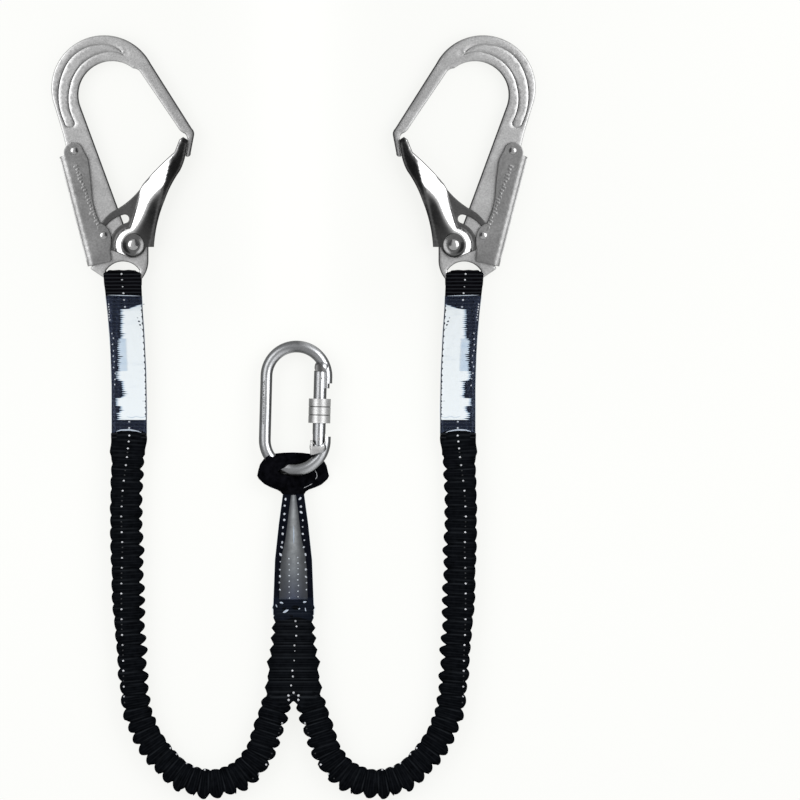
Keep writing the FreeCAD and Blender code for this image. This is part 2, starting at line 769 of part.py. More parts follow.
def build_choke_loop():
    """Webbing bag the carabiner bar passes through: one layer over the bar at left, one under it."""
    low = size("choke_low")
    high = size("choke_high")
    ply = size("choke_ply")
    wall = Pen(-27.9, -39.5)
    for x, y in ((-29.1, -46.6), (-23.5, -53.2), (-22.3, -50.6), (-26.0, -46.4), (-25.1, -40.2)):
        wall.line(x, y)
    wall.close()
    base = Pen(-27.9, -48.0)
    for x, y in ((10.0, -48.0), (14.0, -55.84), (12.2, -56.3), (-12.2, -56.3), (-23.5, -53.2)):
        base.line(x, y)
    base.close()
    bag = choke_slab(choke_outline(), low, low + ply)
    bag = bag.fuse(choke_slab(choke_front_outline(), high - ply, high))
    bag = bag.fuse(choke_slab(wall, low, high))
    bag = bag.fuse(choke_slab(base, low, high - ply / 2))
    code_part("choke_loop", bag.removeSplitter())


# ---------------------------------------------------------------- carabiner

CARABINER_ORIGIN = vec(size("carabiner_x"), size("carabiner_y"), size("carabiner_z"))
CARABINER_TURN = FreeCAD.Rotation(vec(0, 0, 1), size("carabiner_tilt"))


def carabiner_part(label, shape):
    return code_part(label, shape, CARABINER_ORIGIN, CARABINER_TURN)


def along_gate(radius, low, high):
    return Part.makeCylinder(radius, high - low, vec(size("gate_axis_x"), low, 0), vec(0, 1, 0))


def cross_pin(radius, y, half_long):
    return Part.makeCylinder(radius, 2 * half_long, vec(size("gate_axis_x"), y, -half_long))


def carabiner_bar():
    half = size("bow_half_wide")
    middle = 0.8
    straight = size("straight_half")
    right = middle + half
    left = middle - half
    edges = [
        Part.LineSegment(vec(right, 16.6), vec(right, straight)).toShape(),
        Part.Arc(vec(right, straight), vec(middle, straight + half), vec(left, straight)).toShape(),
        Part.LineSegment(vec(left, straight), vec(left, -straight)).toShape(),
        Part.Arc(vec(left, -straight), vec(middle, -straight - half), vec(right, -straight)).toShape(),
        Part.LineSegment(vec(right, -straight), vec(right, -22.0)).toShape(),
    ]
    path = Part.Wire(edges)
    profile = Part.Wire([Part.Circle(vec(right, 16.6), vec(0, 1, 0), size("bar_r")).toShape()])
    return path.makePipeShell([profile], True, False)


def build_carabiner_body():
    axis_x = size("gate_axis_x")
    tube = size("gate_tube_r")
    top = size("gate_top_y") + 0.6
    pin_y = size("hinge_pin_y")
    room = tube + 0.25
    hood = Part.makeSphere(6.2, vec(axis_x + 1.2, top + 2.2, 0))
    cup = Part.makeSphere(7.4, vec(axis_x + 0.2, -30.5, 0))
    solid = carabiner_bar().fuse(hood).fuse(cup)
    solid = solid.cut(Part.makeBox(30, top - 5, 30, vec(axis_x - 30, 5, -15)))
    solid = solid.cut(along_gate(room, -10, top))
    narrow = along_gate(20, 10, 20.6).cut(along_gate(size("nose_tip_r"), 9, 21))
    solid = solid.cut(narrow)
    solid = solid.cut(cross_pin(room, pin_y, 15))
    solid = solid.cut(Part.makeBox(2 * room, 14, 30, vec(axis_x - room, pin_y, -15)))
    solid = solid.cut(Part.makeBox(20, 12, 30, vec(axis_x - 20, pin_y - 0.5, -15)))
    tang_half = size("tang_half")
    latch_y = size("latch_pin_y")
    tang = Part.makeBox(8.0, 15.5, 2 * tang_half, vec(axis_x - 1.1, latch_y - 3.5, -tang_half))
    pin_r = size("small_pin_r") + 0.15
    notch = cross_pin(pin_r, latch_y, 5)
    notch = notch.fuse(Part.makeBox(8, 2 * pin_r, 10, vec(axis_x - 8, latch_y - pin_r, -5)))
    solid = solid.fuse(tang.cut(notch))
    tongue_half = size("tongue_half")
    tongue = cross_pin(3.6, pin_y, tongue_half)
    tongue = tongue.fuse(Part.makeBox(7.2, 8.5, 2 * tongue_half, vec(axis_x - 3.6, pin_y - 8.5, -tongue_half)))
    solid = solid.fuse(tongue).cut(cross_pin(size("small_pin_r") + size("running_gap"), pin_y, 5))
    carabiner_part("carabiner_body", solid.removeSplitter())


def build_carabiner_gate():
    axis_x = size("gate_axis_x")
    tube = size("gate_tube_r")
    pin_y = size("hinge_pin_y")
    top = size("gate_top_y")
    solid = along_gate(tube, pin_y, top)
    foot = along_gate(tube, pin_y - tube, pin_y).common(cross_pin(tube, pin_y, tube))
    solid = solid.fuse(foot)
    slit = size("tongue_half") + 0.2
    solid = solid.cut(Part.makeBox(4 * tube, 9.4, 2 * slit, vec(axis_x - 2 * tube, pin_y - 5.3, -slit)))
    solid = solid.cut(along_gate(3.4, pin_y + 4.0, 14.0))
    mouth = size("tang_half") + 0.2
    solid = solid.cut(Part.makeBox(12, 12, 2 * mouth, vec(axis_x - 1.7, 20.3, -mouth)))
    hole = size("small_pin_r") + size("running_gap")
    solid = solid.cut(cross_pin(hole, pin_y, 8)).cut(cross_pin(hole, size("latch_pin_y"), 8))
    carabiner_part("carabiner_gate", solid.removeSplitter())


def build_carabiner_pins():
    carabiner_part("carabiner_hinge_pin", cross_pin(size("small_pin_r"), size("hinge_pin_y"), 5.15))
    carabiner_part("carabiner_latch_pin", cross_pin(size("small_pin_r"), size("latch_pin_y"), 5.15))


def build_gate_plunger():
    low = size("hinge_pin_y") + 4.1
    head = along_gate(3.3, low, low + 3.0)
    stem = along_gate(1.4, low + 3.0, low + 9.0)
    carabiner_part("carabiner_plunger", head.fuse(stem).removeSplitter())


def build_gate_coil():
    low = size("hinge_pin_y") + 7.2
    helix = Part.makeHelix(2.4, 30.0, 2.55)
    helix.rotate(vec(0, 0, 0), vec(1, 0, 0), -90)
    helix.translate(vec(size("gate_axis_x"), low + 0.5, 0))
    start = helix.Edges[0].Vertexes[0].Point
    tangent = helix.Edges[0].tangentAt(helix.Edges[0].FirstParameter)
    profile = Part.Wire([Part.Circle(start, tangent, 0.4).toShape()])
    carabiner_part("carabiner_gate_spring", Part.Wire(helix).makePipeShell([profile], True, True))


def build_locking_sleeve():
    mid = size("nut_mid_y")
    half = size("nut_half")
    outer = size("nut_r")
    solid = along_gate(outer, mid - half, mid + half)
    for shift in (-3.3, 3.3):
        ring = along_gate(outer + 1, mid + shift - 0.4, mid + shift + 0.4)
        solid = solid.cut(ring.cut(along_gate(outer - 0.5, mid + shift - 1, mid + shift + 1)))
    solid = solid.cut(along_gate(size("gate_tube_r") + size("running_gap"), mid - half - 1, mid + half + 1))
    solid = solid.cut(along_gate(size("nose_tip_r") + 0.2, mid + half - 5.0, mid + half + 1))
    carabiner_part("carabiner_locking_sleeve", solid.removeSplitter())


# ---------------------------------------------------------------- right side and files

def mirror_to_right():
    names = [item.Label for item in doc.Objects if item.Label.startswith("left_") and is_top_part(item)]
    for name in names:
        twin = doc.addObject("Part::Mirroring", name.replace("left_", "right_"))
        twin.Label = name.replace("left_", "right_")
        twin.Source = doc.getObjectsByLabel(name)[0]
        twin.Normal = vec(1, 0, 0)
        twin.Base = vec(0, 0, 0)
    doc.recompute()


def is_top_part(item):
    return item.TypeId in ("PartDesign::Body", "Part::Feature", "Part::Mirroring")


def check_and_export():
    os.makedirs("parts", exist_ok=True)
    for item in doc.Objects:
        if "Invalid" in item.State or "Error" in item.State:
            raise RuntimeError("%s did not build" % item.Label)
    for item in doc.Objects:
        if not is_top_part(item):
            continue
        shape = item.Shape
        if shape.isNull() or not shape.isValid() or not shape.Solids:
            raise RuntimeError("%s has no valid solid" % item.Label)
        shape.exportStep("parts/%s.step" % item.Label)
        print(item.Label, len(shape.Solids), round(shape.Volume, 1))


build_hook_body()
build_gate()
build_lever()
GATE_FACE = size("gate_bulge_out") + size("running_gap") * 2 + size("washer_thick")
LEVER_FACE = size("lever_out") + size("running_gap")
build_rivet("left_gate_rivet", None, None, "gate_rivet_r", "gate_rivet_head_r", GATE_FACE)
build_rivet("left_lever_rivet", "lever_x", "lever_y", "lever_rivet_r", "small_head_r", LEVER_FACE)
build_rivet("left_lock_pin", "lock_x", "lock_y", "lock_pin_r", "small_head_r", LEVER_FACE)
build_washers()
build_springs()
build_hook_loop()
build_clear_sleeve()
build_label()
build_hook_stitching()
build_junction(build_legs())
build_centre_webbing()
build_choke_loop()
build_carabiner_body()
build_carabiner_gate()
build_carabiner_pins()
build_gate_plunger()
build_gate_coil()
build_locking_sleeve()
mirror_to_right()
check_and_export()
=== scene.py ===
"""Looks of the twin-leg shock absorbing lanyard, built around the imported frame.

Sizes in the code are millimetres, except in materials, stage, lights and camera, which use metres.
"""
import math

import bpy
import numpy as np
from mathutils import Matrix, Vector
from mathutils.geometry import delaunay_2d_cdt


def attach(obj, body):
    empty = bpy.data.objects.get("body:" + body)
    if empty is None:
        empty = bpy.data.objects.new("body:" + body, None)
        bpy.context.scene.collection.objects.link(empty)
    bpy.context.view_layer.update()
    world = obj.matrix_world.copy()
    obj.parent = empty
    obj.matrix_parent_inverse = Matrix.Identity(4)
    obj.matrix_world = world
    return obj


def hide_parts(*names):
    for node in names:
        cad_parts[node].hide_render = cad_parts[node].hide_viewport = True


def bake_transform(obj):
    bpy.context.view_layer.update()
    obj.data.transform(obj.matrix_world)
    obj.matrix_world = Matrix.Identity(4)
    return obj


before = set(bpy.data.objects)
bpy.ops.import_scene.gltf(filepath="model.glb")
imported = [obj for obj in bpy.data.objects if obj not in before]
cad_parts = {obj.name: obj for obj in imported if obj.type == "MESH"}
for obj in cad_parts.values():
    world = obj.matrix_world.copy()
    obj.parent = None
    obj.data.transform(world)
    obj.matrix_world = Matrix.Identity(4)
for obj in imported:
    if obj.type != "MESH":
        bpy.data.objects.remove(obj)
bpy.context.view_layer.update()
MM = 0.001
SIDES = (("left", 1), ("right", -1))
rng = np.random.default_rng(7)


# ------------------------------------------------------------------ materials

def new_material(name):
    mat = bpy.data.materials.new(name)
    mat.use_nodes = True
    return mat, mat.node_tree.nodes, mat.node_tree.links, mat.node_tree.nodes["Principled BSDF"]


def noise_node(nodes, links, scale, detail=4.0, stretch=None, rough=0.6):
    coords = nodes.new("ShaderNodeTexCoord")
    mapping = nodes.new("ShaderNodeMapping")
    if stretch:
        mapping.inputs["Scale"].default_value = stretch
    noise = nodes.new("ShaderNodeTexNoise")
    noise.inputs["Scale"].default_value = scale
    noise.inputs["Detail"].default_value = detail
    noise.inputs["Roughness"].default_value = rough
    links.new(coords.outputs["Object"], mapping.inputs["Vector"])
    links.new(mapping.outputs["Vector"], noise.inputs["Vector"])
    return noise


def ramp(nodes, links, source, stops):
    node = nodes.new("ShaderNodeValToRGB")
    node.color_ramp.elements[0].position = stops[0][0]
    node.color_ramp.elements[0].color = (*stops[0][1], 1)
    node.color_ramp.elements[1].position = stops[-1][0]
    node.color_ramp.elements[1].color = (*stops[-1][1], 1)
    for position, color in stops[1:-1]:
        element = node.color_ramp.elements.new(position)
        element.color = (*color, 1)
    links.new(source, node.inputs["Fac"])
    return node


def bump(nodes, links, height, strength, distance, bsdf, normal=None):
    node = nodes.new("ShaderNodeBump")
    node.inputs["Strength"].default_value = strength
    node.inputs["Distance"].default_value = distance
    links.new(height, node.inputs["Height"])
    if normal is not None:
        links.new(normal, node.inputs["Normal"])
    links.new(node.outputs["Normal"], bsdf.inputs["Normal"])
    return node


def grey(value):
    return (value, value, value)


def multiply(nodes, links, first, second):
    mix = nodes.new("ShaderNodeMixRGB")
    mix.blend_type = "MULTIPLY"
    mix.inputs["Fac"].default_value = 1.0
    links.new(first, mix.inputs["Color1"])
    links.new(second, mix.inputs["Color2"])
    return mix.outputs["Color"]


def shaded_steel(name, stops, rough=0.2):
    """Polished steel with painted highlight and shade: its brightness runs with the glare value stored on the
    mesh.
    """
    mat, nodes, links, bsdf = new_material(name)
    bsdf.inputs["Metallic"].default_value = 1.0
    glare = nodes.new("ShaderNodeAttribute")
    glare.attribute_name = "glare"
    tone = ramp(nodes, links, glare.outputs["Fac"], [(place, grey(value)) for place, value in stops])
    cloud = noise_node(nodes, links, 320.0, 4.0)
    mottle = ramp(nodes, links, cloud.outputs["Fac"], [(0.3, grey(0.8)), (0.65, grey(1.1))])
    links.new(multiply(nodes, links, tone.outputs["Color"], mottle.outputs["Color"]),
              bsdf.inputs["Base Color"])
    bsdf.inputs["Roughness"].default_value = rough
    bump(nodes, links, cloud.outputs["Fac"], 0.03, 0.0004, bsdf)
    return mat


def steel(name, dark, light, rough_low, rough_high, grain=300.0, bump_strength=0.05, tint=(1, 1, 1),
          facing=0.0,
          bands=None, rim=None):
    """Plated steel with mottled brightness, roughness and grain.

    facing, bands and rim multiply painted highlight and shade into the colour by surface direction, standing
    in for reflections.
    """
    mat, nodes, links, bsdf = new_material(name)
    bsdf.inputs["Metallic"].default_value = 1.0
    cloud = noise_node(nodes, links, 45.0, 5.0)
    tone = ramp(nodes, links, cloud.outputs["Fac"],
                [(0.3, [dark * c for c in tint]), (0.7, [light * c for c in tint])])
    color = tone.outputs["Color"]
    # Painted reflection: faces turned one way are lightened, faces turned the other way darkened.
    if facing:
        geometry = nodes.new("ShaderNodeNewGeometry")
        split = nodes.new("ShaderNodeSeparateXYZ")
        links.new(geometry.outputs["Normal"], split.inputs["Vector"])
        turned = nodes.new("ShaderNodeMath")
        turned.operation = "MULTIPLY_ADD"
        turned.inputs[1].default_value = 0.5 * facing
        turned.inputs[2].default_value = 0.5
        links.new(split.outputs["X"], turned.inputs[0])
        shade = ramp(nodes, links, turned.outputs["Value"],
                     [(0.2, grey(1.0)), (0.5, grey(0.72)), (0.58, grey(0.66)), (0.72, grey(0.2)),
                      (1.0, grey(0.1))])
        color = multiply(nodes, links, color, shade.outputs["Color"])
    fine = noise_node(nodes, links, grain, 6.0, stretch=(1, 3, 1))
    speckle = noise_node(nodes, links, 3.2 * grain, 3.0)
    flecks = ramp(nodes, links, speckle.outputs["Fac"], [(0.3, grey(0.8)), (0.7, grey(1.15))])
    color = multiply(nodes, links, color, flecks.outputs["Color"])
    # Painted highlight bands across the bar by normal X, and painted shade on the rims by normal Z.
    if bands or rim:
        geometry = nodes.new("ShaderNodeNewGeometry")
        split = nodes.new("ShaderNodeSeparateXYZ")
        links.new(geometry.outputs["Normal"], split.inputs["Vector"])
        for axis, stops in (("X", bands), ("Z", rim)):
            if stops:
                turned = nodes.new("ShaderNodeMath")
                turned.operation = "MULTIPLY_ADD"
                turned.inputs[1].default_value = 0.5
                turned.inputs[2].default_value = 0.5
                links.new(split.outputs[axis], turned.inputs[0])
                shade = ramp(nodes, links, turned.outputs["Value"],
                             [(0.5 + 0.5 * place, grey(value)) for place, value in stops])
                color = multiply(nodes, links, color, shade.outputs["Color"])
    links.new(color, bsdf.inputs["Base Color"])
    rough = nodes.new("ShaderNodeMapRange")
    rough.inputs["To Min"].default_value = rough_low
    rough.inputs["To Max"].default_value = rough_high
    links.new(fine.outputs["Fac"], rough.inputs["Value"])
    links.new(rough.outputs["Result"], bsdf.inputs["Roughness"])
    bump(nodes, links, fine.outputs["Fac"], bump_strength, 0.0004, bsdf)
    return mat


def woven(name, base, sheen=0.25, rough=0.85, lift=1.9, specular=0.0, painted_rib_light=None, painted_rib_glint=None):
    """Textile: fine thread bump and slight colour variation.

    Both lightenings are painted highlight: one is read from the mesh for the ribs and folds, the other runs
    by height for the rib tops.
    """
    mat, nodes, links, bsdf = new_material(name)
    cloud = noise_node(nodes, links, 220.0, 4.0)
    low = [0.6 * c for c in base]
    high = [lift * c for c in base]
    tone = ramp(nodes, links, cloud.outputs["Fac"], [(0.3, low), (0.75, high)])
    color = tone.outputs["Color"]
    if painted_rib_light or painted_rib_glint:
        mix = nodes.new("ShaderNodeMixRGB")
        mix.inputs["Color2"].default_value = (*(painted_rib_light or painted_rib_glint[1]), 1)
        links.new(color, mix.inputs["Color1"])
        if painted_rib_light:
            lines = nodes.new("ShaderNodeAttribute")
            lines.attribute_name = "painted_rib_light"
            links.new(lines.outputs["Fac"], mix.inputs["Fac"])
        else:
            coords = nodes.new("ShaderNodeTexCoord")
            wave = nodes.new("ShaderNodeTexWave")
            wave.bands_direction = "Y"
            wave.inputs["Scale"].default_value = 0.314 / painted_rib_glint[0]
            wave.inputs["Distortion"].default_value = 0.6
            wave.inputs["Detail"].default_value = 2.0
            links.new(coords.outputs["Object"], wave.inputs["Vector"])
            band = ramp(nodes, links, wave.outputs["Fac"], [(0.55, grey(0.0)), (0.95, grey(1.0))])
            links.new(band.outputs["Color"], mix.inputs["Fac"])
        color = mix.outputs["Color"]
    links.new(color, bsdf.inputs["Base Color"])
    bsdf.inputs["Roughness"].default_value = rough
    bsdf.inputs["Sheen Weight"].default_value = sheen
    bsdf.inputs["Sheen Roughness"].default_value = 0.5
    bsdf.inputs["Specular IOR Level"].default_value = specular
    threads = noise_node(nodes, links, 900.0, 2.0, stretch=(1, 2.2, 1))
    bump(nodes, links, threads.outputs["Fac"], 0.55, 0.0005, bsdf)
    return mat


def film(name, clearness, color, rough, wrinkle, scale, stretch=(1, 0.5, 1), cap=0.07, even=False):
    """Clear wrapped film: mostly transparent with a wrinkled gloss, or with a faint even haze that glows as
    painted light.
    """
    mat, nodes, links, bsdf = new_material(name)
    bsdf.inputs["Base Color"].default_value = (*color, 1)
    bsdf.inputs["Roughness"].default_value = rough
    bsdf.inputs["Specular IOR Level"].default_value = 0.2
    clear = nodes.new("ShaderNodeBsdfTransparent")
    clear.inputs["Color"].default_value = (0.93, 0.95, 0.97, 1)
    gloss = nodes.new("ShaderNodeBsdfGlossy")
    gloss.inputs["Roughness"].default_value = rough
    gloss.inputs["Color"].default_value = (0.5, 0.64, 1.0, 1)
    mixer = nodes.new("ShaderNodeMixShader")
    fresnel = nodes.new("ShaderNodeFresnel")
    fresnel.inputs["IOR"].default_value = 1.28
    creases = noise_node(nodes, links, scale, 5.0, stretch=stretch)
    wrinkles = nodes.new("ShaderNodeBump")
    wrinkles.inputs["Strength"].default_value = wrinkle
    wrinkles.inputs["Distance"].default_value = 0.002
    links.new(creases.outputs["Fac"], wrinkles.inputs["Height"])
    for node in (gloss, fresnel, bsdf):
        links.new(wrinkles.outputs["Normal"], node.inputs["Normal"])
    capped = nodes.new("ShaderNodeMath")
    capped.operation = "MINIMUM"
    capped.inputs[1].default_value = cap
    links.new(fresnel.outputs["Fac"], capped.inputs[0])
    links.new(capped.outputs["Value"], mixer.inputs["Fac"])
    links.new(clear.outputs["BSDF"], mixer.inputs[1])
    links.new(gloss.outputs["BSDF"], mixer.inputs[2])
    # Painted glow: this haze is emitted, not lit.
    if even:
        veil = nodes.new("ShaderNodeAddShader")
        painted_glow_haze = nodes.new("ShaderNodeEmission")
        painted_glow_haze.inputs["Color"].default_value = (*color, 1)
        painted_glow_haze.inputs["Strength"].default_value = 1 - clearness
        links.new(clear.outputs["BSDF"], veil.inputs[0])
        links.new(painted_glow_haze.outputs["Emission"], veil.inputs[1])
    else:
        veil = nodes.new("ShaderNodeMixShader")
        veil.inputs["Fac"].default_value = 1 - clearness
        links.new(mixer.outputs["Shader"], veil.inputs[1])
        links.new(bsdf.outputs["BSDF"], veil.inputs[2])
    links.new(veil.outputs["Shader"], nodes["Material Output"].inputs["Surface"])
    return mat


def label_film(name):
    """Pale label with glare and shade painted into its colour: white on the far side, bluish and streaked
    near the sewn edge.
    """
    mat, nodes, links, bsdf = new_material(name)
    glare = nodes.new("ShaderNodeAttribute")
    glare.attribute_name = "glare"
    streak = noise_node(nodes, links, 60.0, 6.0, stretch=(0.5, 3.0, 1), rough=0.7)
    mixed = nodes.new("ShaderNodeMath")
    mixed.operation = "MULTIPLY_ADD"
    mixed.inputs[1].default_value = 0.55
    links.new(streak.outputs["Fac"], mixed.inputs[0])
    links.new(glare.outputs["Fac"], mixed.inputs[2])
    tone = ramp(nodes, links, mixed.outputs["Value"],
                [(0.12, (0.02, 0.028, 0.05)), (0.3, (0.2, 0.26, 0.33)), (0.5, (0.44, 0.51, 0.57)),
                 (0.68, (0.54, 0.57, 0.58)), (0.85, (0.69, 0.7, 0.68))])
    links.new(tone.outputs["Color"], bsdf.inputs["Base Color"])
    bsdf.inputs["Roughness"].default_value = 0.4
    bsdf.inputs["Specular IOR Level"].default_value = 0.3
    bump(nodes, links, streak.outputs["Fac"], 0.2, 0.001, bsdf)
    return mat


# Plates and levers get one copy per side, whose facing paints reflected light and shade mirrored for that
# side.
PLATES = {side: steel("plated_plate_" + side, 0.46, 0.58, 0.36, 0.5, grain=240.0, facing=sign)
          for side, sign in SIDES}
LEVERS = {side: steel("satin_lever_" + side, 0.24, 0.35, 0.28, 0.42, grain=200.0, facing=sign)
          for side, sign in SIDES}
# Gate steel with painted highlight and shade, running from dark to white with its glare value.
PAINTED_GLARE_STEEL = shaded_steel("polished_gate", ((0.0, 0.055), (0.25, 0.1), (0.5, 0.2), (0.8, 0.42), (1.0, 0.62)))
# Dark steel that paints shade on the gate's arms and rims, the carabiner nose recess and the sleeve grooves;
# the stem marks use it as well.
DARK_STEEL_PAINTED_SHADE = steel("dark_steel_painted_shade", 0.06, 0.09, 0.3, 0.42, grain=300.0)
WASHER = steel("washer_steel", 0.08, 0.14, 0.16, 0.26, grain=300.0)
BRIGHT = steel("bright_rivet", 0.3, 0.42, 0.14, 0.22, grain=500.0, bump_strength=0.02)
WIRE = steel("spring_wire", 0.3, 0.38, 0.3, 0.4, grain=600.0)
# Painted shade on the carabiner's rims and a painted highlight band along its bar, both by surface direction.
RIM_PAINTED_SHADE = ((0.0, 0.3), (0.45, 0.6), (0.75, 0.95), (0.95, 1.25))
BAR_PAINTED_HIGHLIGHT = ((-1.0, 0.45), (-0.75, 0.9), (-0.2, 1.05), (0.02, 0.9), (0.22, 2.3), (0.45, 2.7), (0.66, 0.8),
             (0.9, 0.35))
ZINC = steel("zinc_carabiner", 0.16, 0.21, 0.28, 0.4, grain=350.0, bump_strength=0.06, tint=(0.98, 1.0, 1.03),
             bands=BAR_PAINTED_HIGHLIGHT, rim=RIM_PAINTED_SHADE)
# The sleeve is painted darker at its sides, as shade by surface direction.
SLEEVE_ZINC = steel("zinc_sleeve", 0.36, 0.46, 0.34, 0.46, grain=350.0, bump_strength=0.06,
                    bands=((-1.0, 0.3), (-0.7, 0.75), (-0.3, 1.0), (0.7, 1.0), (1.0, 0.5)))
# The ribbed webbing is lightened on its rib tops as painted highlight.
RIBBED = woven("ribbed_webbing", (0.0016, 0.0016, 0.0022), sheen=0.0, painted_rib_glint=(0.0029, (0.011, 0.012, 0.014)))
# The jacket is lightened by a per-vertex value as painted highlight on its ribs and folds.
JACKET = woven("black_jacket", (0.0018, 0.0021, 0.0028), sheen=0.0, painted_rib_light=(0.015, 0.017, 0.02))
LOOP_BLACK = woven("black_loop", (0.0013, 0.0013, 0.0018), sheen=0.0, rough=0.7, lift=3.0)
STRAP = woven("inner_strap", (0.5, 0.5, 0.48), sheen=0.1, lift=1.4)
CORD = woven("elastic_cord", (0.32, 0.3, 0.26), sheen=0.0, rough=0.6, lift=1.5)
THREAD = woven("pale_thread", (0.4, 0.41, 0.43), sheen=0.0, rough=0.6, lift=1.6)
FAINT = woven("dull_thread", (0.03, 0.031, 0.033), sheen=0.0, rough=0.7, lift=1.6)
FILM = film("clear_film", 0.975, (0.12, 0.17, 0.36), 0.3, 0.05, 40.0, cap=0.03)
# These two films carry the emitted haze, a painted glow.
CENTRE_FILM = film("centre_film", 0.975, (0.08, 0.11, 0.22), 0.4, 0.0, 20.0, even=True)
CREASED = film("creased_film", 0.965, (0.09, 0.13, 0.24), 0.3, 0.0, 20.0, even=True)
# Pale film for painted glints on folds and hems.
GLINT_FILM_PAINTED = film("film_painted_glint", 0.45, (0.5, 0.56, 0.64), 0.2, 0.3, 120.0)
LABEL = label_film("pale_label")


# ------------------------------------------------------------------ mesh helpers

def make_object(name, verts, faces, mats, body=None, replaces=(), slot=None, smooth_angle=35.0,
                face_mats=None):
    """Mesh object from millimetre vertices, riding on a CAD body."""
    mesh = bpy.data.meshes.new(name)
    mesh.from_pydata([tuple(v) for v in np.asarray(verts, float) * MM], [],
                     [tuple(int(i) for i in f) for f in faces])
    mesh.validate()
    mesh.update()
    obj = bpy.data.objects.new(name, mesh)
    bpy.context.scene.collection.objects.link(obj)
    for mat in (mats if isinstance(mats, (list, tuple)) else [mats]):
        mesh.materials.append(mat)
    if face_mats is not None and len(face_mats) == len(mesh.polygons):
        mesh.polygons.foreach_set("material_index", np.asarray(face_mats, np.int32))
    mesh.polygons.foreach_set("use_smooth", np.ones(len(mesh.polygons), bool))
    mesh.set_sharp_from_angle(angle=math.radians(smooth_angle))
    if body:
        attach(obj, body)
    if replaces:
        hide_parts(*replaces)
    return obj


def mirrored(verts, faces, sign):
    verts = np.array(verts, float)
    if sign < 0:
        verts[:, 0] *= -1
        faces = [tuple(reversed(face)) for face in faces]
    return verts, faces


def join_meshes(parts):
    verts = []
    faces = []
    count = 0
    for part_verts, part_faces in parts:
        verts.append(np.asarray(part_verts, float))
        faces += [tuple(i + count for i in face) for face in part_faces]
        count += len(part_verts)
    return np.vstack(verts), faces


def loft(rings, closed_ring=True, caps=True, closed_path=False):
    """Skin over a stack of equal rings of points."""
    rings = np.asarray(rings, float)
    count, around = rings.shape[:2]
    faces = []
    span = count if closed_path else count - 1
    edge = around if closed_ring else around - 1
    for i in range(span):
        j = (i + 1) % count
        for k in range(edge):
            m = (k + 1) % around
            faces.append((i * around + k, i * around + m, j * around + m, j * around + k))
    if caps and closed_ring and not closed_path:
        faces.append(tuple(range(around))[::-1])
        faces.append(tuple((count - 1) * around + k for k in range(around)))
    return rings.reshape(-1, 3), faces


def lathe(profile, centre, segments=48):
    """Turned shape about +Z through centre from (radius, height) points."""
    profile = np.asarray(profile, float)
    angles = np.linspace(0, 2 * np.pi, segments, endpoint=False)
    rings = []
    for radius, height in profile:
        rings.append(np.c_[radius * np.cos(angles), radius * np.sin(angles), np.full(segments, height)])
    verts, faces = loft(rings)
    return verts + np.asarray(centre), faces


def arc_points(start, mid, end, step=0.8):
    (ax, ay), (bx, by), (cx, cy) = start, mid, end
    d = 2 * (ax * (by - cy) + bx * (cy - ay) + cx * (ay - by))
    ux = ((ax**2 + ay**2) * (by - cy) + (bx**2 + by**2) * (cy - ay) + (cx**2 + cy**2) * (ay - by)) / d
    uy = ((ax**2 + ay**2) * (cx - bx) + (bx**2 + by**2) * (ax - cx) + (cx**2 + cy**2) * (bx - ax)) / d
    radius = math.hypot(ax - ux, ay - uy)
    a0 = math.atan2(ay - uy, ax - ux)
    a1 = math.atan2(by - uy, bx - ux)
    a2 = math.atan2(cy - uy, cx - ux)
    sweep = (a2 - a0) % (2 * math.pi)
    if (a1 - a0) % (2 * math.pi) > sweep:
        sweep -= 2 * math.pi
    count = max(2, int(abs(sweep) * radius / step))
    angles = a0 + sweep * np.arange(1, count + 1) / count
    return [(ux + radius * math.cos(a), uy + radius * math.sin(a)) for a in angles]


class Pen:
    """Outline of lines and three-point arcs, sampled to points."""

    def __init__(self, x, y):
        self.points = [(x, y)]

    def line(self, x, y, step=1.2):
        x0, y0 = self.points[-1]
        count = max(1, int(math.hypot(x - x0, y - y0) / step))
        for i in range(1, count + 1):
            self.points.append((x0 + (x - x0) * i / count, y0 + (y - y0) * i / count))

    def arc(self, mx, my, x, y):
        self.points += arc_points(self.points[-1], (mx, my), (x, y))

    def close(self):
        x, y = self.points[0]
        self.line(x, y)
        return self.loop()

    def loop(self):
        pts = self.points
        if math.hypot(pts[0][0] - pts[-1][0], pts[0][1] - pts[-1][1]) < 1e-6:
            pts = pts[:-1]
        return np.array(pts)


def polar(centre_x, centre_y, radius, degrees):
    angle = math.radians(degrees)
    return centre_x + radius * math.cos(angle), centre_y + radius * math.sin(angle)


def circle(x, y, radius, count=40):
    angles = np.linspace(0, 2 * np.pi, count, endpoint=False)
    return np.c_[x + radius * np.cos(angles), y + radius * np.sin(angles)]


def line_distance(points, line, closed=True):
    """Distance of each point to a polyline."""
    a = line
    b = np.roll(line, -1, axis=0)
    if not closed:
        a, b = line[:-1], line[1:]
    best = np.full(len(points), 1e9)
    for start in range(0, len(a), 64):
        pa = a[start:start + 64]
        ab = b[start:start + 64] - pa
        rel = points[:, None, :] - pa[None]
        t = np.clip((rel * ab).sum(-1) / np.maximum((ab * ab).sum(-1), 1e-12), 0, 1)
        gap = rel - t[..., None] * ab
        best = np.minimum(best, np.sqrt((gap**2).sum(-1)).min(1))
    return best


def inside(points, loop):
    x, y = points[:, 0], points[:, 1]
    result = np.zeros(len(points), bool)
    for (x0, y0), (x1, y1) in zip(loop, np.roll(loop, -1, axis=0)):
        crosses = (y0 > y) != (y1 > y)
        with np.errstate(divide="ignore", invalid="ignore"):
            at = (x1 - x0) * (y - y0) / (y1 - y0) + x0
        result ^= crosses & (x < at)
    return result


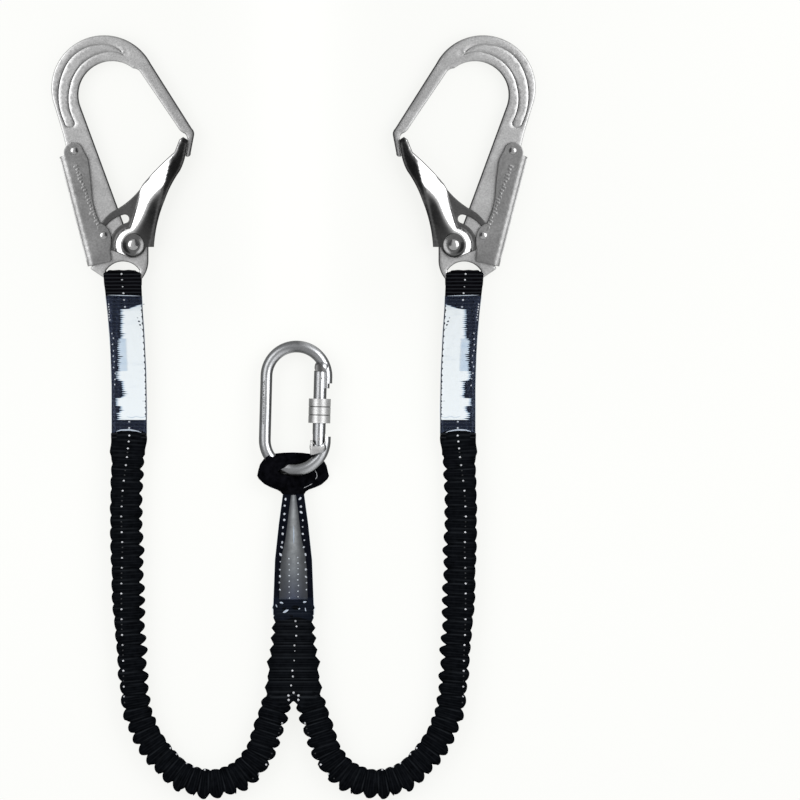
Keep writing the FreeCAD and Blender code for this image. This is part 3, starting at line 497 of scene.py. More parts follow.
def offset_rows(line, distances, closed=True):
    """Points beside a polyline, on both sides, at the given distances."""
    if closed:
        tangent = np.roll(line, -1, axis=0) - np.roll(line, 1, axis=0)
    else:
        tangent = np.gradient(line, axis=0)
    tangent /= np.maximum(np.linalg.norm(tangent, axis=1, keepdims=True), 1e-9)
    normal = np.c_[-tangent[:, 1], tangent[:, 0]]
    rows = []
    for distance in distances:
        rows.append(line + normal * distance)
    return np.vstack(rows)


def flat_mesh(loops, spacing, guide_lines=(), edge_rows=(0.25, 0.7), guide_rows=(-0.8, -0.4, 0.0, 0.4, 0.8)):
    """Triangulated region: outer loop minus holes, with extra rows of points near edges and guide lines."""
    outer = loops[0]
    low, high = outer.min(0), outer.max(0)
    xs = np.arange(low[0], high[0], spacing)
    ys = np.arange(low[1], high[1], spacing * 0.866)
    grid = np.array([(x + (i % 2) * spacing / 2, y) for i, y in enumerate(ys) for x in xs])
    extra = []
    for row in edge_rows:
        for loop in loops:
            near = offset_rows(loop, (-row, row))
            keep = np.ones(len(near), bool)
            for other in loops:
                keep &= line_distance(near, other) > row * 0.93
            extra.append(near[keep])
    for guide in guide_lines:
        extra.append(offset_rows(guide, guide_rows, closed=False))
    keep = np.ones(len(grid), bool)
    margin = (edge_rows[-1] if edge_rows else 0.3) + 0.35 * spacing
    for loop in loops:
        keep &= line_distance(grid, loop) > margin
    for guide in guide_lines:
        keep &= line_distance(grid, guide, closed=False) > max(guide_rows) + 0.3 * spacing
    points = np.vstack([grid[keep]] + extra) if extra else grid[keep]
    keep = inside(points, outer)
    for hole in loops[1:]:
        keep &= ~inside(points, hole)
    for loop in loops:
        keep &= line_distance(points, loop) > 0.08
    points = points[keep]
    verts = [Vector(p) for loop in loops for p in loop]
    edges = []
    base = 0
    for loop in loops:
        edges += [(base + i, base + (i + 1) % len(loop)) for i in range(len(loop))]
        base += len(loop)
    verts += [Vector(p) for p in points]
    out = delaunay_2d_cdt(verts, edges, [], 1, 1e-6)
    xy = np.array([tuple(v) for v in out[0]])
    faces = [tuple(f) for f in out[2]]
    if len(loops) > 1:
        centres = np.array([xy[list(f)].mean(0) for f in faces])
        keep = np.ones(len(faces), bool)
        for hole in loops[1:]:
            keep &= ~inside(centres, hole)
        faces = [f for f, k in zip(faces, keep) if k]
    fixed = []
    for f in faces:
        a, b, c = xy[f[0]], xy[f[1]], xy[f[2]]
        area = (b[0] - a[0]) * (c[1] - a[1]) - (b[1] - a[1]) * (c[0] - a[0])
        if abs(area) > 1e-9:
            fixed.append(f if area > 0 else (f[0], f[2], f[1]))
    return xy, fixed


def boundary_edges(faces):
    count = {}
    for f in faces:
        for i in range(len(f)):
            edge = (f[i], f[(i + 1) % len(f)])
            if (edge[1], edge[0]) in count:
                count.pop((edge[1], edge[0]))
            else:
                count[edge] = True
    return list(count)


def shell(xy, faces, top, bottom):
    """Closed solid between two height fields over one flat mesh."""
    n = len(xy)
    verts = np.vstack([np.c_[xy, top], np.c_[xy, bottom]])
    out = list(faces)
    out += [tuple(n + i for i in reversed(f)) for f in faces]
    for a, b in boundary_edges(faces):
        out.append((a, n + a, n + b, b))
    return verts, out


def rounded(distance, height, radius):
    """Height of a flat face whose rim is rounded over."""
    d = np.clip(distance, 0, radius)
    return height - radius + np.sqrt(np.maximum(radius**2 - (radius - d)**2, 0))


def smoothstep(value, low, high):
    t = np.clip((value - low) / (high - low), 0, 1)
    return t * t * (3 - 2 * t)


# ------------------------------------------------------------------ hooks

HOOK = np.array([-128.2, 138.2, 9.0])
BOW = (-16.9, 119.9, 26.9)
BACK = (-23.4, 125.4, 42.2)


def hook_loop():
    pen = Pen(*polar(*BACK, 27.7))
    pen.line(46.9, 93.0)
    pen.arc(48.6, 90.2, 48.6, 87.0)
    pen.line(46.0, 73.5)
    pen.arc(44.6, 70.6, 41.8, 70.9)
    pen.line(43.0, 84.3)
    pen.arc(42.6, 87.2, 40.8, 89.1)
    pen.arc(37.9, 90.9, 35.6, 93.9)
    pen.line(6.1, 137.3)
    pen.arc(3.2, 140.2, *polar(*BOW, 51.8))
    pen.arc(*polar(*BOW, 123.4), *polar(*BOW, 200.2))
    pen.line(-6.0, 12.3)
    pen.arc(6.5, 11.3, 12.2, 1.0)
    pen.line(12.2, -12.2)
    pen.arc(10.9, -20.2, 7.0, -27.2)
    pen.line(6.9, -32.0)
    pen.arc(6.3, -33.4, 4.9, -34.0)
    pen.line(-21.5, -34.0)
    pen.arc(-22.9, -33.4, -23.5, -32.0)
    pen.line(-23.7, -26.4)
    pen.line(-33.2, -20.0)
    pen.arc(-34.0, -19.0, -33.4, -17.6)
    pen.line(-31.8, -12.0)
    pen.line(-54.0, 69.0)
    pen.line(-53.8, 78.2)
    pen.line(-56.3, 88.7)
    pen.line(*polar(*BACK, 201.0))
    pen.arc(*polar(*BACK, 114.0), *polar(*BACK, 27.7))
    return pen.loop()


def eye_loop():
    pen = Pen(-20.4, -25.6)
    pen.line(3.8, -25.6)
    pen.line(5.2, -20.8)
    pen.arc(-8.0, -13.4, -21.7, -20.8)
    return pen.close()


def groove_lines():
    outer = Pen(-50.9, 94.2)
    outer.arc(-53.4, 94.9, -54.6, 97.2)
    outer.arc(-59.7, 118.0, -54.6, 141.6)
    outer.arc(-43.0, 155.0, -26.9, 160.0)
    outer.arc(-18.0, 159.6, -9.0, 154.4)
    inner = Pen(-50.9, 94.2)
    inner.arc(-47.6, 94.9, -46.9, 98.4)
    inner.arc(-51.4, 112.0, -50.4, 126.5)
    inner.arc(-42.0, 143.4, -26.0, 153.2)
    inner.arc(-17.0, 154.6, -8.0, 152.4)
    return [np.array(outer.points), np.array(inner.points)]


def build_plate(side, sign):
    loops = [hook_loop(), eye_loop()]
    grooves = groove_lines()
    xy, faces = flat_mesh(loops, 2.4, grooves, edge_rows=(0.12, 0.35, 0.75, 1.3),
                          guide_rows=(-0.75, -0.45, 0.0, 0.45, 0.75))
    edge = np.minimum(line_distance(xy, loops[0]), line_distance(xy, loops[1]))
    top = rounded(edge, 2.5, 1.3)
    depth = np.zeros(len(xy))
    for groove in grooves:
        gap = line_distance(xy, groove, closed=False)
        depth = np.maximum(depth, 0.34 * smoothstep(0.75 - gap, 0, 0.75))
    dimple = np.hypot(xy[:, 0] + 6.0, xy[:, 1] - 153.8)
    depth = np.maximum(depth, 0.8 * np.clip(1 - dimple / 1.9, 0, 1))
    top -= depth
    verts, faces = shell(xy, faces, top, -top)
    verts, faces = mirrored(verts + HOOK, faces, sign)
    make_object(side + "_hook_plate", verts, faces, PLATES[side], side + "_hook",
                [side + "_hook_body"], "hook_plate_steel", 50)


def gate_right_edge(pen):
    pen.line(43.8, 83.7)
    pen.line(41.7, 71.1)
    pen.arc(39.9, 64.8, 37.3, 59.0)
    pen.arc(30.4, 47.7, 25.2, 35.6)
    pen.arc(19.8, 19.2, 16.6, -1.8)


def gate_loop():
    pen = Pen(33.0, 74.2)
    pen.line(36.9, 84.1)
    pen.line(39.9, 86.3)
    gate_right_edge(pen)
    pen.line(10.2, -1.8)
    pen.arc(1.8, -10.0, -8.0, -8.0)
    pen.line(-17.6, -4.2)
    pen.arc(*polar(0, 0, 18.4, 165.0), *polar(0, 0, 18.4, 108.0))
    pen.arc(-3.5, 21.8, *polar(0, 0, 25.2, 108.0))
    pen.arc(*polar(0, 0, 25.9, 128.5), *polar(0, 0, 26.7, 149.0))
    pen.line(-25.6, 17.4)
    pen.arc(-19.3, 24.5, -12.1, 29.1)
    pen.arc(-2.0, 36.6, 5.2, 44.2)
    pen.line(7.8, 48.6)
    pen.arc(19.5, 61.5, 33.0, 74.2)
    return pen.loop()


def bulge_loop():
    """Region of the gate that stands proud.

    Open edges are pushed outside the gate so they do not step down.
    """
    pen = Pen(6.2, 44.6)
    pen.arc(2.6, 30.0, -2.6, 13.6)
    pen.arc(-12.4, 7.0, -14.2, -3.4)
    pen.line(-10.0, -14.0)
    pen.line(30.0, -14.0)
    pen.line(60.0, 60.0)
    pen.line(50.0, 100.0)
    pen.line(20.0, 80.0)
    pen.line(4.0, 56.0)
    return pen.close()


def gate_ridge():
    """Left limit of the crowned part of the gate, where the sheet is folded to the back."""
    pen = Pen(7.8, 48.6)
    pen.arc(19.5, 61.5, 33.0, 74.2)
    pen.line(36.9, 84.1)
    return np.array(pen.points)


def gate_crest():
    """Line where the crowned gate turns from its outer flank to its inner flank."""
    return np.array([(38.4, 85.6), (36.9, 80.0), (35.3, 74.9), (32.9, 71.0), (30.0, 66.9), (27.4, 60.8),
                     (26.1, 51.2),
                     (23.1, 44.7), (17.4, 40.0), (12.9, 35.4), (10.5, 27.8), (7.9, 21.8), (3.5, 14.0),
                     (0.5, 10.1),
                     (-5.1, 6.2), (-6.9, 1.8), (-7.3, -2.5), (-6.0, -9.0)])


def signed_side(xy, line):
    """Distance to an open line, positive on its left when walking from its last point to its first."""
    mids = 0.5 * (line[1:] + line[:-1])
    steps = line[:-1] - line[1:]
    nearest = np.argmin(((xy[:, None, :] - mids[None]) ** 2).sum(-1), axis=1)
    rel = xy - mids[nearest]
    cross = steps[nearest, 0] * rel[:, 1] - steps[nearest, 1] * rel[:, 0]
    return line_distance(xy, line, closed=False) * np.where(cross > 0, 1, -1)


def build_gate(side, sign):
    loop = gate_loop()
    bulge = bulge_loop()
    pivot = circle(0, 0, 3.05, 32)
    crest = gate_crest()
    dense = np.array([crest[int(i)] + (crest[min(int(i) + 1, len(crest) - 1)] - crest[int(i)]) * (i - int(i))
                      for i in np.linspace(0, len(crest) - 1, 160)])
    for _ in range(60):
        dense[1:-1] += 0.5 * (0.5 * (dense[2:] + dense[:-2]) - dense[1:-1])
    xy, faces = flat_mesh([loop, pivot], 1.1, [bulge[:44]], edge_rows=(0.15, 0.5, 1.1),
                          guide_rows=(-0.9, -0.3, 0.3, 0.9))
    edge = line_distance(xy, loop)
    step = line_distance(xy, bulge) * np.where(inside(xy, bulge), 1, -1)
    lift = smoothstep(step, -0.5, 0.7)
    flank = signed_side(xy, dense)
    width = 1.6
    slope = np.where(flank > 0, math.tan(math.radians(17)), math.tan(math.radians(10.5)))
    crown = 7.5 - slope * (np.sqrt(flank**2 + width**2) - width)
    right = np.array([p for p in loop if p[0] > 14 and p[1] < 84 and p[0] > 0.42 * p[1]])
    rim = line_distance(xy, right, closed=False)
    crown += 0.13 * np.clip(2.4 - rim, 0, 2.4) * (flank < 0)
    seat = np.hypot(xy[:, 0], xy[:, 1])
    crown = np.minimum(crown, 6.5 + 0.9 * np.clip(seat - 8.9, 0, 10))
    top = 4.3 + (np.maximum(crown, 4.35) - 4.3) * lift
    top = rounded(edge, 0.0, 0.45) + top
    soft = []
    # Painted highlight and shade: white along the outer flank, dark on the inner flank, grey towards the top,
    # a lighter strip with a dark line at the right edge, and a dark line at the upper left edge.
    glare = smoothstep(flank, -4.6, 1.6)
    glare -= 0.3 * np.exp(-((xy[:, 1] - 66) / 5) ** 2) * smoothstep(flank, 7, 0)
    glare -= 0.1 * np.clip(-flank - 6, 0, 8) / 8 * (glare < 0.3)
    glare += 0.16 * np.exp(-((xy[:, 1] - 30) / 9) ** 2) * np.exp(-((flank + 6) / 3) ** 2)
    for start in range(0, len(xy), 400):
        near = np.exp(-((xy[start:start + 400, None, :] - xy[None]) ** 2).sum(-1) / 1.8)
        soft.append(near @ glare / near.sum(axis=1))
    glare = np.concatenate(soft)
    glare = np.where((rim < 2.2) & (flank < 0), 0.27 - 0.12 * (rim < 0.35), glare)
    glare = np.where((edge < 0.75) & (flank > 0) & (xy[:, 1] > 43), 0.3 * smoothstep(edge, 0.3, 0.75), glare)
    upper = smoothstep(xy[:, 1], 64, 70) * (flank > -2)
    glare = glare * (1 - upper * smoothstep(edge, 1.6, 2.6)) + 0.15 * upper * smoothstep(edge, 1.6, 2.6)
    verts, top_faces = shell(xy, faces, top, np.maximum(top - 1.4, 2.8))
    back_verts = verts * (1, 1, -1)
    back_faces = [tuple(reversed(f)) for f in top_faces]
    # The flat arms and the thin rim take the dark steel as painted shade.
    arm = step < 0.25
    border = edge < 0.2
    mats = []
    for f in top_faces:
        ids = [i % len(xy) for i in f]
        mats.append(1 if arm[ids].mean() > 0.5 or border[ids].mean() > 0.6 else 0)
    web_rim = gate_ridge()[4:]
    inner_rim = offset_rows(web_rim, (-1.5,), closed=False)
    rings = []
    for (ox, oy), (ix, iy) in zip(web_rim, inner_rim):
        rings.append([(ox, oy, 2.7), (ox, oy, -2.7), (ix, iy, -2.9), (ix, iy, 2.9)])
    web_verts, web_faces = loft(rings)
    verts, faces = join_meshes([(verts, top_faces), (back_verts, back_faces), (web_verts, web_faces)])
    mats = mats + mats + [0] * len(web_faces)
    verts, faces = mirrored(verts + HOOK, faces, sign)
    # The folded web gets a low glare value, which paints it in shade.
    glare = np.r_[glare, glare, glare, glare, np.full(len(web_verts), 0.15)]
    obj = make_object(side + "_gate_shell", verts, faces, [PAINTED_GLARE_STEEL, DARK_STEEL_PAINTED_SHADE], side + "_hook_gate",
                      [side + "_gate"], "gate_steel", 48, mats)
    set_values(obj, "glare", glare)


def lever_loop():
    pen = Pen(-59.0, 70.2)
    pen.line(-55.2, 71.6)
    pen.arc(-52.0, 80.4, -47.0, 81.6)
    pen.arc(-42.6, 80.2, -40.4, 76.4)
    pen.line(-36.2, 68.8)
    pen.arc(-34.6, 58.0, -33.4, 45.0)
    pen.arc(-31.2, 30.0, -26.6, 17.5)
    pen.arc(-20.6, 13.4, -18.0, 8.0)
    pen.arc(-17.6, 1.5, -18.4, -4.0)
    pen.line(-17.6, -11.0)
    pen.arc(-18.0, -13.0, -20.0, -13.8)
    pen.line(-36.4, -17.4)
    return pen.close()


def stamped_band(xy):
    """Row of meaningless raised dashes down the middle of the lever."""
    start = np.array([-46.5, 64.0])
    end = np.array([-27.5, 14.0])
    along = end - start
    length = np.linalg.norm(along)
    along /= length
    across = np.array([-along[1], along[0]])
    rel = xy - start
    s = rel @ along
    t = rel @ across
    tile = np.floor(s / 2.6)
    phase = s / 2.6 - tile
    slant = 0.5 * np.sin(tile * 2.4)
    dash = (np.abs(phase - 0.5) < 0.25) & (np.abs(t - slant) < 1.1 + 0.5 * np.cos(tile * 1.7))
    return np.where(dash & (s > 0) & (s < length), 0.14, 0.0)


def build_lever(side, sign):
    loop = lever_loop()
    fold = np.array([(-59.0, 70.2), (-36.4, -17.4)])
    fold = np.array([fold[0] + (fold[1] - fold[0]) * t for t in np.linspace(0, 1, 60)])
    band = np.array([(-46.5 + 19 * t, 64 - 50 * t) for t in np.linspace(0, 1, 120)])
    rows = tuple(np.arange(-2.4, 2.5, 0.4))
    xy, faces = flat_mesh([loop], 1.8, [band], edge_rows=(0.15, 0.5, 1.1, 1.8, 2.6), guide_rows=rows)
    edge = line_distance(xy, loop)
    back = line_distance(xy, fold, closed=False)
    top = 6.1 + rounded(edge, 0.0, 0.35)
    top -= math.tan(math.radians(27)) * np.clip(3.3 - back, 0, 2.3) + 1.6 * np.clip(1.0 - back, 0, 1)
    top += stamped_band(xy)
    verts, front = shell(xy, faces, top, np.minimum(top - 1.4, 4.7))
    back_verts = verts * (1, 1, -1)
    rear = [tuple(reversed(f)) for f in front]
    rim = fold[1:-3]
    inner = offset_rows(rim, (1.5,), closed=False)
    rings = [[(ox, oy, 4.2), (ox, oy, -4.2), (ix, iy, -4.8), (ix, iy, 4.8)] for (ox, oy),
             (ix, iy) in zip(rim, inner)]
    web_verts, web_faces = loft(rings)
    verts, faces = join_meshes([(verts, front), (back_verts, rear), (web_verts, web_faces)])
    verts, faces = mirrored(verts + HOOK, faces, sign)
    make_object(side + "_lever_shell", verts, faces, LEVERS[side], side + "_hook_lever",
                [side + "_lock_lever"], "lever_steel", 40)


def rivet_profile(shaft, head, face, high):
    half = []
    for t in np.linspace(0, 1, 9):
        angle = t * math.pi / 2
        half.append((head * math.cos(angle) + 1e-3, face + high * math.sin(angle) ** 0.9))
    profile = [(shaft, 0.0), (shaft, face), (head, face)] + half[1:]
    bottom = [(r, -z) for r, z in reversed(profile)]
    return bottom + profile[1:]


def build_rivets(side, sign):
    specs = [("gate_rivet_dome", "gate_rivet", (0, 0), 3.0, 4.55, 7.2, "_hook"),
             ("lever_rivet_dome", "lever_rivet", (-47.4, 75.3), 2.2, 3.25, 6.15, "_hook"),
             ("lock_pin_dome", "lock_pin", (-23.8, 7.4), 2.0, 3.25, 6.15, "_hook_lever")]
    for name, node, (x, y), shaft, head, face, body in specs:
        profile = rivet_profile(shaft, head, face, 1.35)
        verts, faces = lathe(profile, HOOK + (x, y, 0))
        verts, faces = mirrored(verts, faces, sign)
        make_object(side + "_" + name, verts, faces, BRIGHT, side + body, [side + "_" + node], "rivet_steel",
                    40)
    parts = []
    for flip in (1, -1):
        ring = [(3.1, 6.56), (8.6, 6.56), (8.9, 6.75), (8.9, 7.3), (8.5, 7.6), (7.9, 7.55), (6.9, 7.2),
                (5.9, 6.95),
                (4.9, 6.9), (3.1, 6.9)]
        angles = np.linspace(0, 2 * np.pi, 64, endpoint=False)
        rings = [np.c_[r * np.cos(angles), r * np.sin(angles), np.full(64, z * flip)] for r, z in ring]
        verts, faces = loft(rings, caps=False, closed_path=True)
        if flip < 0:
            faces = [tuple(reversed(f)) for f in faces]
        parts.append((verts + HOOK, faces))
    verts, faces = join_meshes(parts)
    verts, faces = mirrored(verts, faces, sign)
    make_object(side + "_washer_pair", verts, faces, WASHER, side + "_hook",
                [side + "_gate_washers"], "rivet_steel", 30)


# ------------------------------------------------------------------ webbing at the hook end

EYE = HOOK + (-8.3, -29.8, 0)
TAIL = np.array([-131.3, -12.8])

def stack_x(y):
    """Middle of the sewn end, which leans over gently towards the hook."""
    return np.interp(y, (-14.0, 0.0, 15.0, 25.0, 36.0, 50.0, 65.0, 77.0, 88.0, 109.0, 118.0),
                     (-131.4, -131.45, -131.5, -131.6, -131.85, -132.4, -133.2, -134.1, -135.0, -136.7,
                      -137.3))


def stack_half(y):
    return np.interp(y, (-14.0, 40.0, 65.0, 88.0, 109.0), (14.1, 13.9, 13.9, 14.2, 15.0))


def dense_section(half_wide, half_high, corner, across=36):
    """Section ring with evenly spread points on the wide faces."""
    top = [(x, half_high) for x in np.linspace(half_wide - corner, -(half_wide - corner), across)]
    left = [(-(half_wide - corner) - corner * math.sin(a), (half_high - corner) + corner * math.cos(a))
            for a in np.linspace(0.2, math.pi / 2, 6)]
    ring = top + left
    low = [(x, -z) for x, z in reversed(ring)]
    half = ring + low
    right = [(half_wide - corner + corner * math.cos(a), -(half_high - corner) + corner * math.sin(a))
             for a in np.linspace(-math.pi / 2 + 0.2, 0, 6)]
    right += [(x, -z) for x, z in reversed(right)]
    return np.array(half + right)


def build_hook_webbing(side, sign):
    """Ribbed strap looped round the eye bar: two layers that close into the sewn stack."""
    top_path = []
    y_low = TAIL[1] - 4.5
    straight = np.arange(y_low, EYE[1] - 2.0, 0.45)
    for y in straight:
        drop = EYE[1] - y
        z = 6.1 - 2.05 * smoothstep(drop, 2.0, 16.0)
        top_path.append((y, z))
    for a in np.linspace(math.pi / 2, -math.pi / 2, 26):
        top_path.append((EYE[1] + 8.4 * math.cos(a), 6.1 * math.sin(a)))
    for y, z in reversed(top_path[:len(straight)]):
        top_path.append((y, -z))
    path = np.array(top_path)
    tangent = np.gradient(path, axis=0)
    tangent /= np.linalg.norm(tangent, axis=1, keepdims=True)
    normal = np.c_[-tangent[:, 1], tangent[:, 0]]
    arc = np.r_[0, np.cumsum(np.linalg.norm(np.diff(path, axis=0), axis=1))]
    across = np.linspace(-1, 1, 41)
    rings = []
    for (y, z), (ny, nz), s in zip(path, normal, arc):
        above = y - EYE[1]
        half = stack_half(y) - 3.2 * (1 - smoothstep(abs(z), 1.6, 3.6)) * (y > EYE[1] - 2)
        rib = 0.42 * abs(math.sin(math.pi * s / 2.9)) ** 0.7 - 0.1
        if above < -16:
            rib *= 0.6
        outer_row = []
        inner_row = []
        for u in across:
            edge = 1 - abs(u) ** 16
            wave = 0.15 * math.sin(9 * u + s * 0.21)
            lift = 0.9 * edge + (rib + wave) * edge
            outer_row.append((stack_x(y) + u * half, y - ny * -lift, z + nz * lift))
            inner_row.append((stack_x(y) + u * half, y + ny * -0.85 * edge, z - nz * 0.85 * edge))
        rings.append(outer_row + inner_row[::-1])
    verts, faces = loft(rings)
    verts[:, 2] += HOOK[2]
    core_rings = []
    for y in np.arange(TAIL[1] + 0.2, EYE[1] - 16, 2.0):
        section = dense_section(13.2, 3.5, 1.5, 8)
        core_rings.append(np.c_[stack_x(y) + section[:, 0], np.full(len(section), y),
                                section[:, 1] + HOOK[2]])
    core = loft(core_rings)
    verts, faces = join_meshes([(verts, faces), core])
    verts, faces = mirrored(verts, faces, sign)
    make_object(side + "_hook_webbing", verts, faces, RIBBED, side + "_leg", [side + "_hook_loop"],
                "black_webbing", 50)


def dots(points, radius, height=0.5, long=1.0, heading=None):
    """Small raised stitches or tracer dots as squashed domes."""
    parts = []
    for index, (x, y, z) in enumerate(points):
        angle = 0.0 if heading is None else heading[index]
        rings = []
        for t in (0.0, 0.35, 0.7, 0.95):
            r = radius * math.sqrt(max(1 - t * t, 0.0))
            angles = np.linspace(0, 2 * np.pi, 10, endpoint=False)
            px = r * np.cos(angles)
            py = r * long * np.sin(angles)
            rings.append(np.c_[x + px * math.cos(angle) - py * math.sin(angle),
                               y + px * math.sin(angle) + py * math.cos(angle), np.full(10, z + height * t)])
        parts.append(loft(rings))
    return join_meshes(parts)


def build_hook_sleeve(side, sign):
    """Clear film round the sewn stack at the hook, rippled and bowed over the stack's low end."""
    rings = []
    top_y = 98.0
    low_y = TAIL[1] + 2.0
    wob = rng.normal(0, 1, 400)
    ys = np.arange(low_y, top_y + 0.1, 1.2)
    for i, y in enumerate(ys):
        ruffle = 0.25 * wob[i % 400]
        wide = stack_half(y) + 0.45 + 0.15 * math.sin(y * 0.21) + 0.08 * ruffle
        high = 6.35 + 0.15 * math.sin(y * 0.33 + 1)
        section = dense_section(wide, high, 3.4, 40)
        ripple = 0.16 * np.sin(section[:, 0] * 1.3 + y * 0.35) * np.cos(y * 0.5 + section[:, 0] * 0.2)
        arch = 0.5 * np.cos(section[:, 0] / wide * math.pi / 2)
        z = section[:, 1] + np.sign(section[:, 1]) * (ripple + arch - 0.35)
        bow = 3.5 * np.cos(section[:, 0] / wide * math.pi / 2) * smoothstep(low_y + 12 - y, 0, 12)
        rings.append(np.c_[stack_x(y) + section[:, 0], y + bow - 2.0 * smoothstep(low_y + 12 - y, 0, 12),
                           z + HOOK[2]])
    verts, faces = loft(rings, caps=False)
    verts, faces = mirrored(verts, faces, sign)
    make_object(side + "_hook_film", verts, faces, FILM, side + "_leg", [side + "_hook_end_sleeve"],
                "clear_sleeve", 60)


LABEL_LEFT = ((-2.4, -9.8), (4.0, -10.0), (5.0, -7.8), (8.8, -7.6), (9.4, -11.0), (15.2, -11.0), (16.6, -5.7),
              (29.0, -5.9), (30.2, -10.6), (36.5, -10.6), (37.6, -8.8), (62.0, -8.2), (64.5, -5.5),
              (80.0, -4.6),
              (88.0, -3.8), (90.0, -2.0))


def build_label(side, sign):
    """Label with a ragged comb-like edge; the glare value runs from the sewn side to the far side."""
    ys = np.arange(-1.9, 91.0, 0.4)
    rings = []
    glare = []
    us = np.linspace(0, 1, 22)
    jag = rng.normal(0, 1, len(ys) + 4)
    for i, y in enumerate(ys):
        tooth = 2.6 * (abs(math.sin(y * 1.9)) ** 3) * (0.4 + 0.6 * abs(jag[i // 4]))
        left = np.interp(y, [p[0] for p in LABEL_LEFT], [p[1] for p in LABEL_LEFT]) + 0.35 * jag[i] + tooth
        if y > 86.5:
            left = 1.0 + 3.0 * (y - 86.5) + 0.8 * jag[i]
        right = stack_half(y) - 0.7 - 0.9 * (abs(math.sin(math.pi * y / 5.2)) ** 14) - 0.12 * abs(jag[i])
        right = max(right, left + 1.0)
        xs = left + (right - left) * us
        z = 5.15 + 0.1 * np.sin(xs * 0.7 + y * 0.3) + 0.35 * np.cos(xs / 15 * math.pi / 2)
        upper = np.c_[stack_x(y) + xs, np.full(len(xs), y), z + HOOK[2]]
        rings.append(np.vstack([upper, upper[::-1] - (0, 0, 0.18)]))
        # Painted glare and shade: dark at the sewn edge, light across the far side.
        shade = 0.6 * smoothstep(xs, left, left + 2.5)
        if 37 < y < 63:
            shade = 0.24 * smoothstep(xs, left - 0.5, left + 0.8) + 0.36 * smoothstep(xs, -1.6, -0.2)
        if y > 83:
            shade = shade - 0.12 * (y - 83) / 8
        shade = shade - 0.4 * np.exp(-((y - 0.4 + 0.5 * np.sin(xs * 0.8)) / 0.35) ** 2) * (xs > -2)
        glare.append(np.r_[shade, shade[::-1]])
    verts, faces = loft(rings)
    verts, faces = mirrored(verts, faces, sign)
    obj = make_object(side + "_pale_label", verts, faces, LABEL, side + "_leg", [side + "_label"],
                      "label_white", 60)
    set_values(obj, "glare", np.concatenate(glare))


def set_values(obj, name, values):
    """Store one number per vertex for the material to read."""
    layer = obj.data.attributes.new(name, "FLOAT", "POINT")
    layer.data.foreach_set("value", np.asarray(values, np.float32)[:len(obj.data.vertices)])


def build_hook_stitches(side, sign):
    points = []
    turns = []
    for y in np.arange(26.0, 70.0, 4.6):
        points.append((stack_x(y) - 11.3 + 0.3 * rng.normal(), y + 0.3 * rng.normal(), HOOK[2] + 5.2))
        turns.append(rng.uniform(-0.8, 0.8))
    for y in np.arange(78.0, 91.0, 2.1):
        points.append((stack_x(y) - 12.6 + 0.3 * rng.normal(), y, HOOK[2] + 5.2))
        turns.append(rng.uniform(-0.5, 0.5))
    side_row = dots(points, 0.5, 0.4, 1.4, turns)
    dull = [(stack_x(y) + 13.3, y, HOOK[2] + 5.1) for y in np.arange(-4.0, 92.0, 4.9)]
    dull += [(stack_x(y) - 12.5, y, HOOK[2] + 5.1) for y in np.arange(-6.0, 24.0, 4.9)]
    verts, faces = dots(dull, 0.45, 0.35, 1.4)
    verts, faces = mirrored(verts, faces, sign)
    make_object(side + "_hook_seam", verts, faces, FAINT, side + "_leg", [], "pale_thread", 60)
    tracer = [(-137.6, 114.8, 6.1), (-137.2, 110.1, 6.95), (-136.6, 104.9, 6.7), (-136.0, 99.5, 6.2),
              (-135.6, 94.1, 5.95), (-134.8, 88.5, 5.6), (-131.4, -3.4, 5.2), (-131.4, -8.5, 5.4)]
    more = dots([(x, y, HOOK[2] + z) for x, y, z in tracer], 0.85, 0.6, 0.9)
    verts, faces = join_meshes([side_row, more])
    verts, faces = mirrored(verts, faces, sign)
    make_object(side + "_hook_stitches", verts, faces, THREAD, side + "_leg",
                [side + "_hook_end_stitching"], "pale_thread", 60)
    # Hem arc at the sleeve's low end and a line at its top end, drawn in pale film as painted glint along
    # those edges.
    rings = []
    arc = resample([(-144.2, -12.0), (-141.0, -10.9), (-137.9, -10.1), (-131.4, -9.9), (-127.0, -10.5),
                    (-124.3, -11.0), (-120.4, -12.7)], 1.2, closed=False)
    for i, (x, y) in enumerate(arc):
        t = i / (len(arc) - 1)
        r = 0.1 + 0.55 * math.sin(math.pi * min(max(t, 0.02), 0.98)) ** 0.8
        drop = 0.022 * (x + 131.5) ** 2
        rings.append([(x, y + r * math.cos(a), HOOK[2] + 7.3 - drop + 0.7 * r * math.sin(a))
                      for a in np.linspace(0, 2 * np.pi, 8, endpoint=False)])
    start_line = ridge_piece(stack_x(97.6), 97.6, HOOK[2] + 6.8, 27.0, -0.03, 0.32, 0.3)
    verts, faces = join_meshes([loft(rings), start_line])
    verts, faces = mirrored(verts, faces, sign)
    make_object(side + "_film_hem_painted_glint", verts, faces, GLINT_FILM_PAINTED, side + "_leg", [], "clear_sleeve", 60)


# ------------------------------------------------------------------ gathered legs

LEG_START = (-131.6, -14.2)
LEG_HEADING = -4.45
LEG_STRETCHES = [(69.7, 5.26), (69.2, 1.41), (69.7, 3.89), (71.9, 45.93), (80.5, 108.69), (29.1, 2.94),
                 (24.0, 2.0)]
LEG_END = sum(length for length, turn in LEG_STRETCHES[:-1])


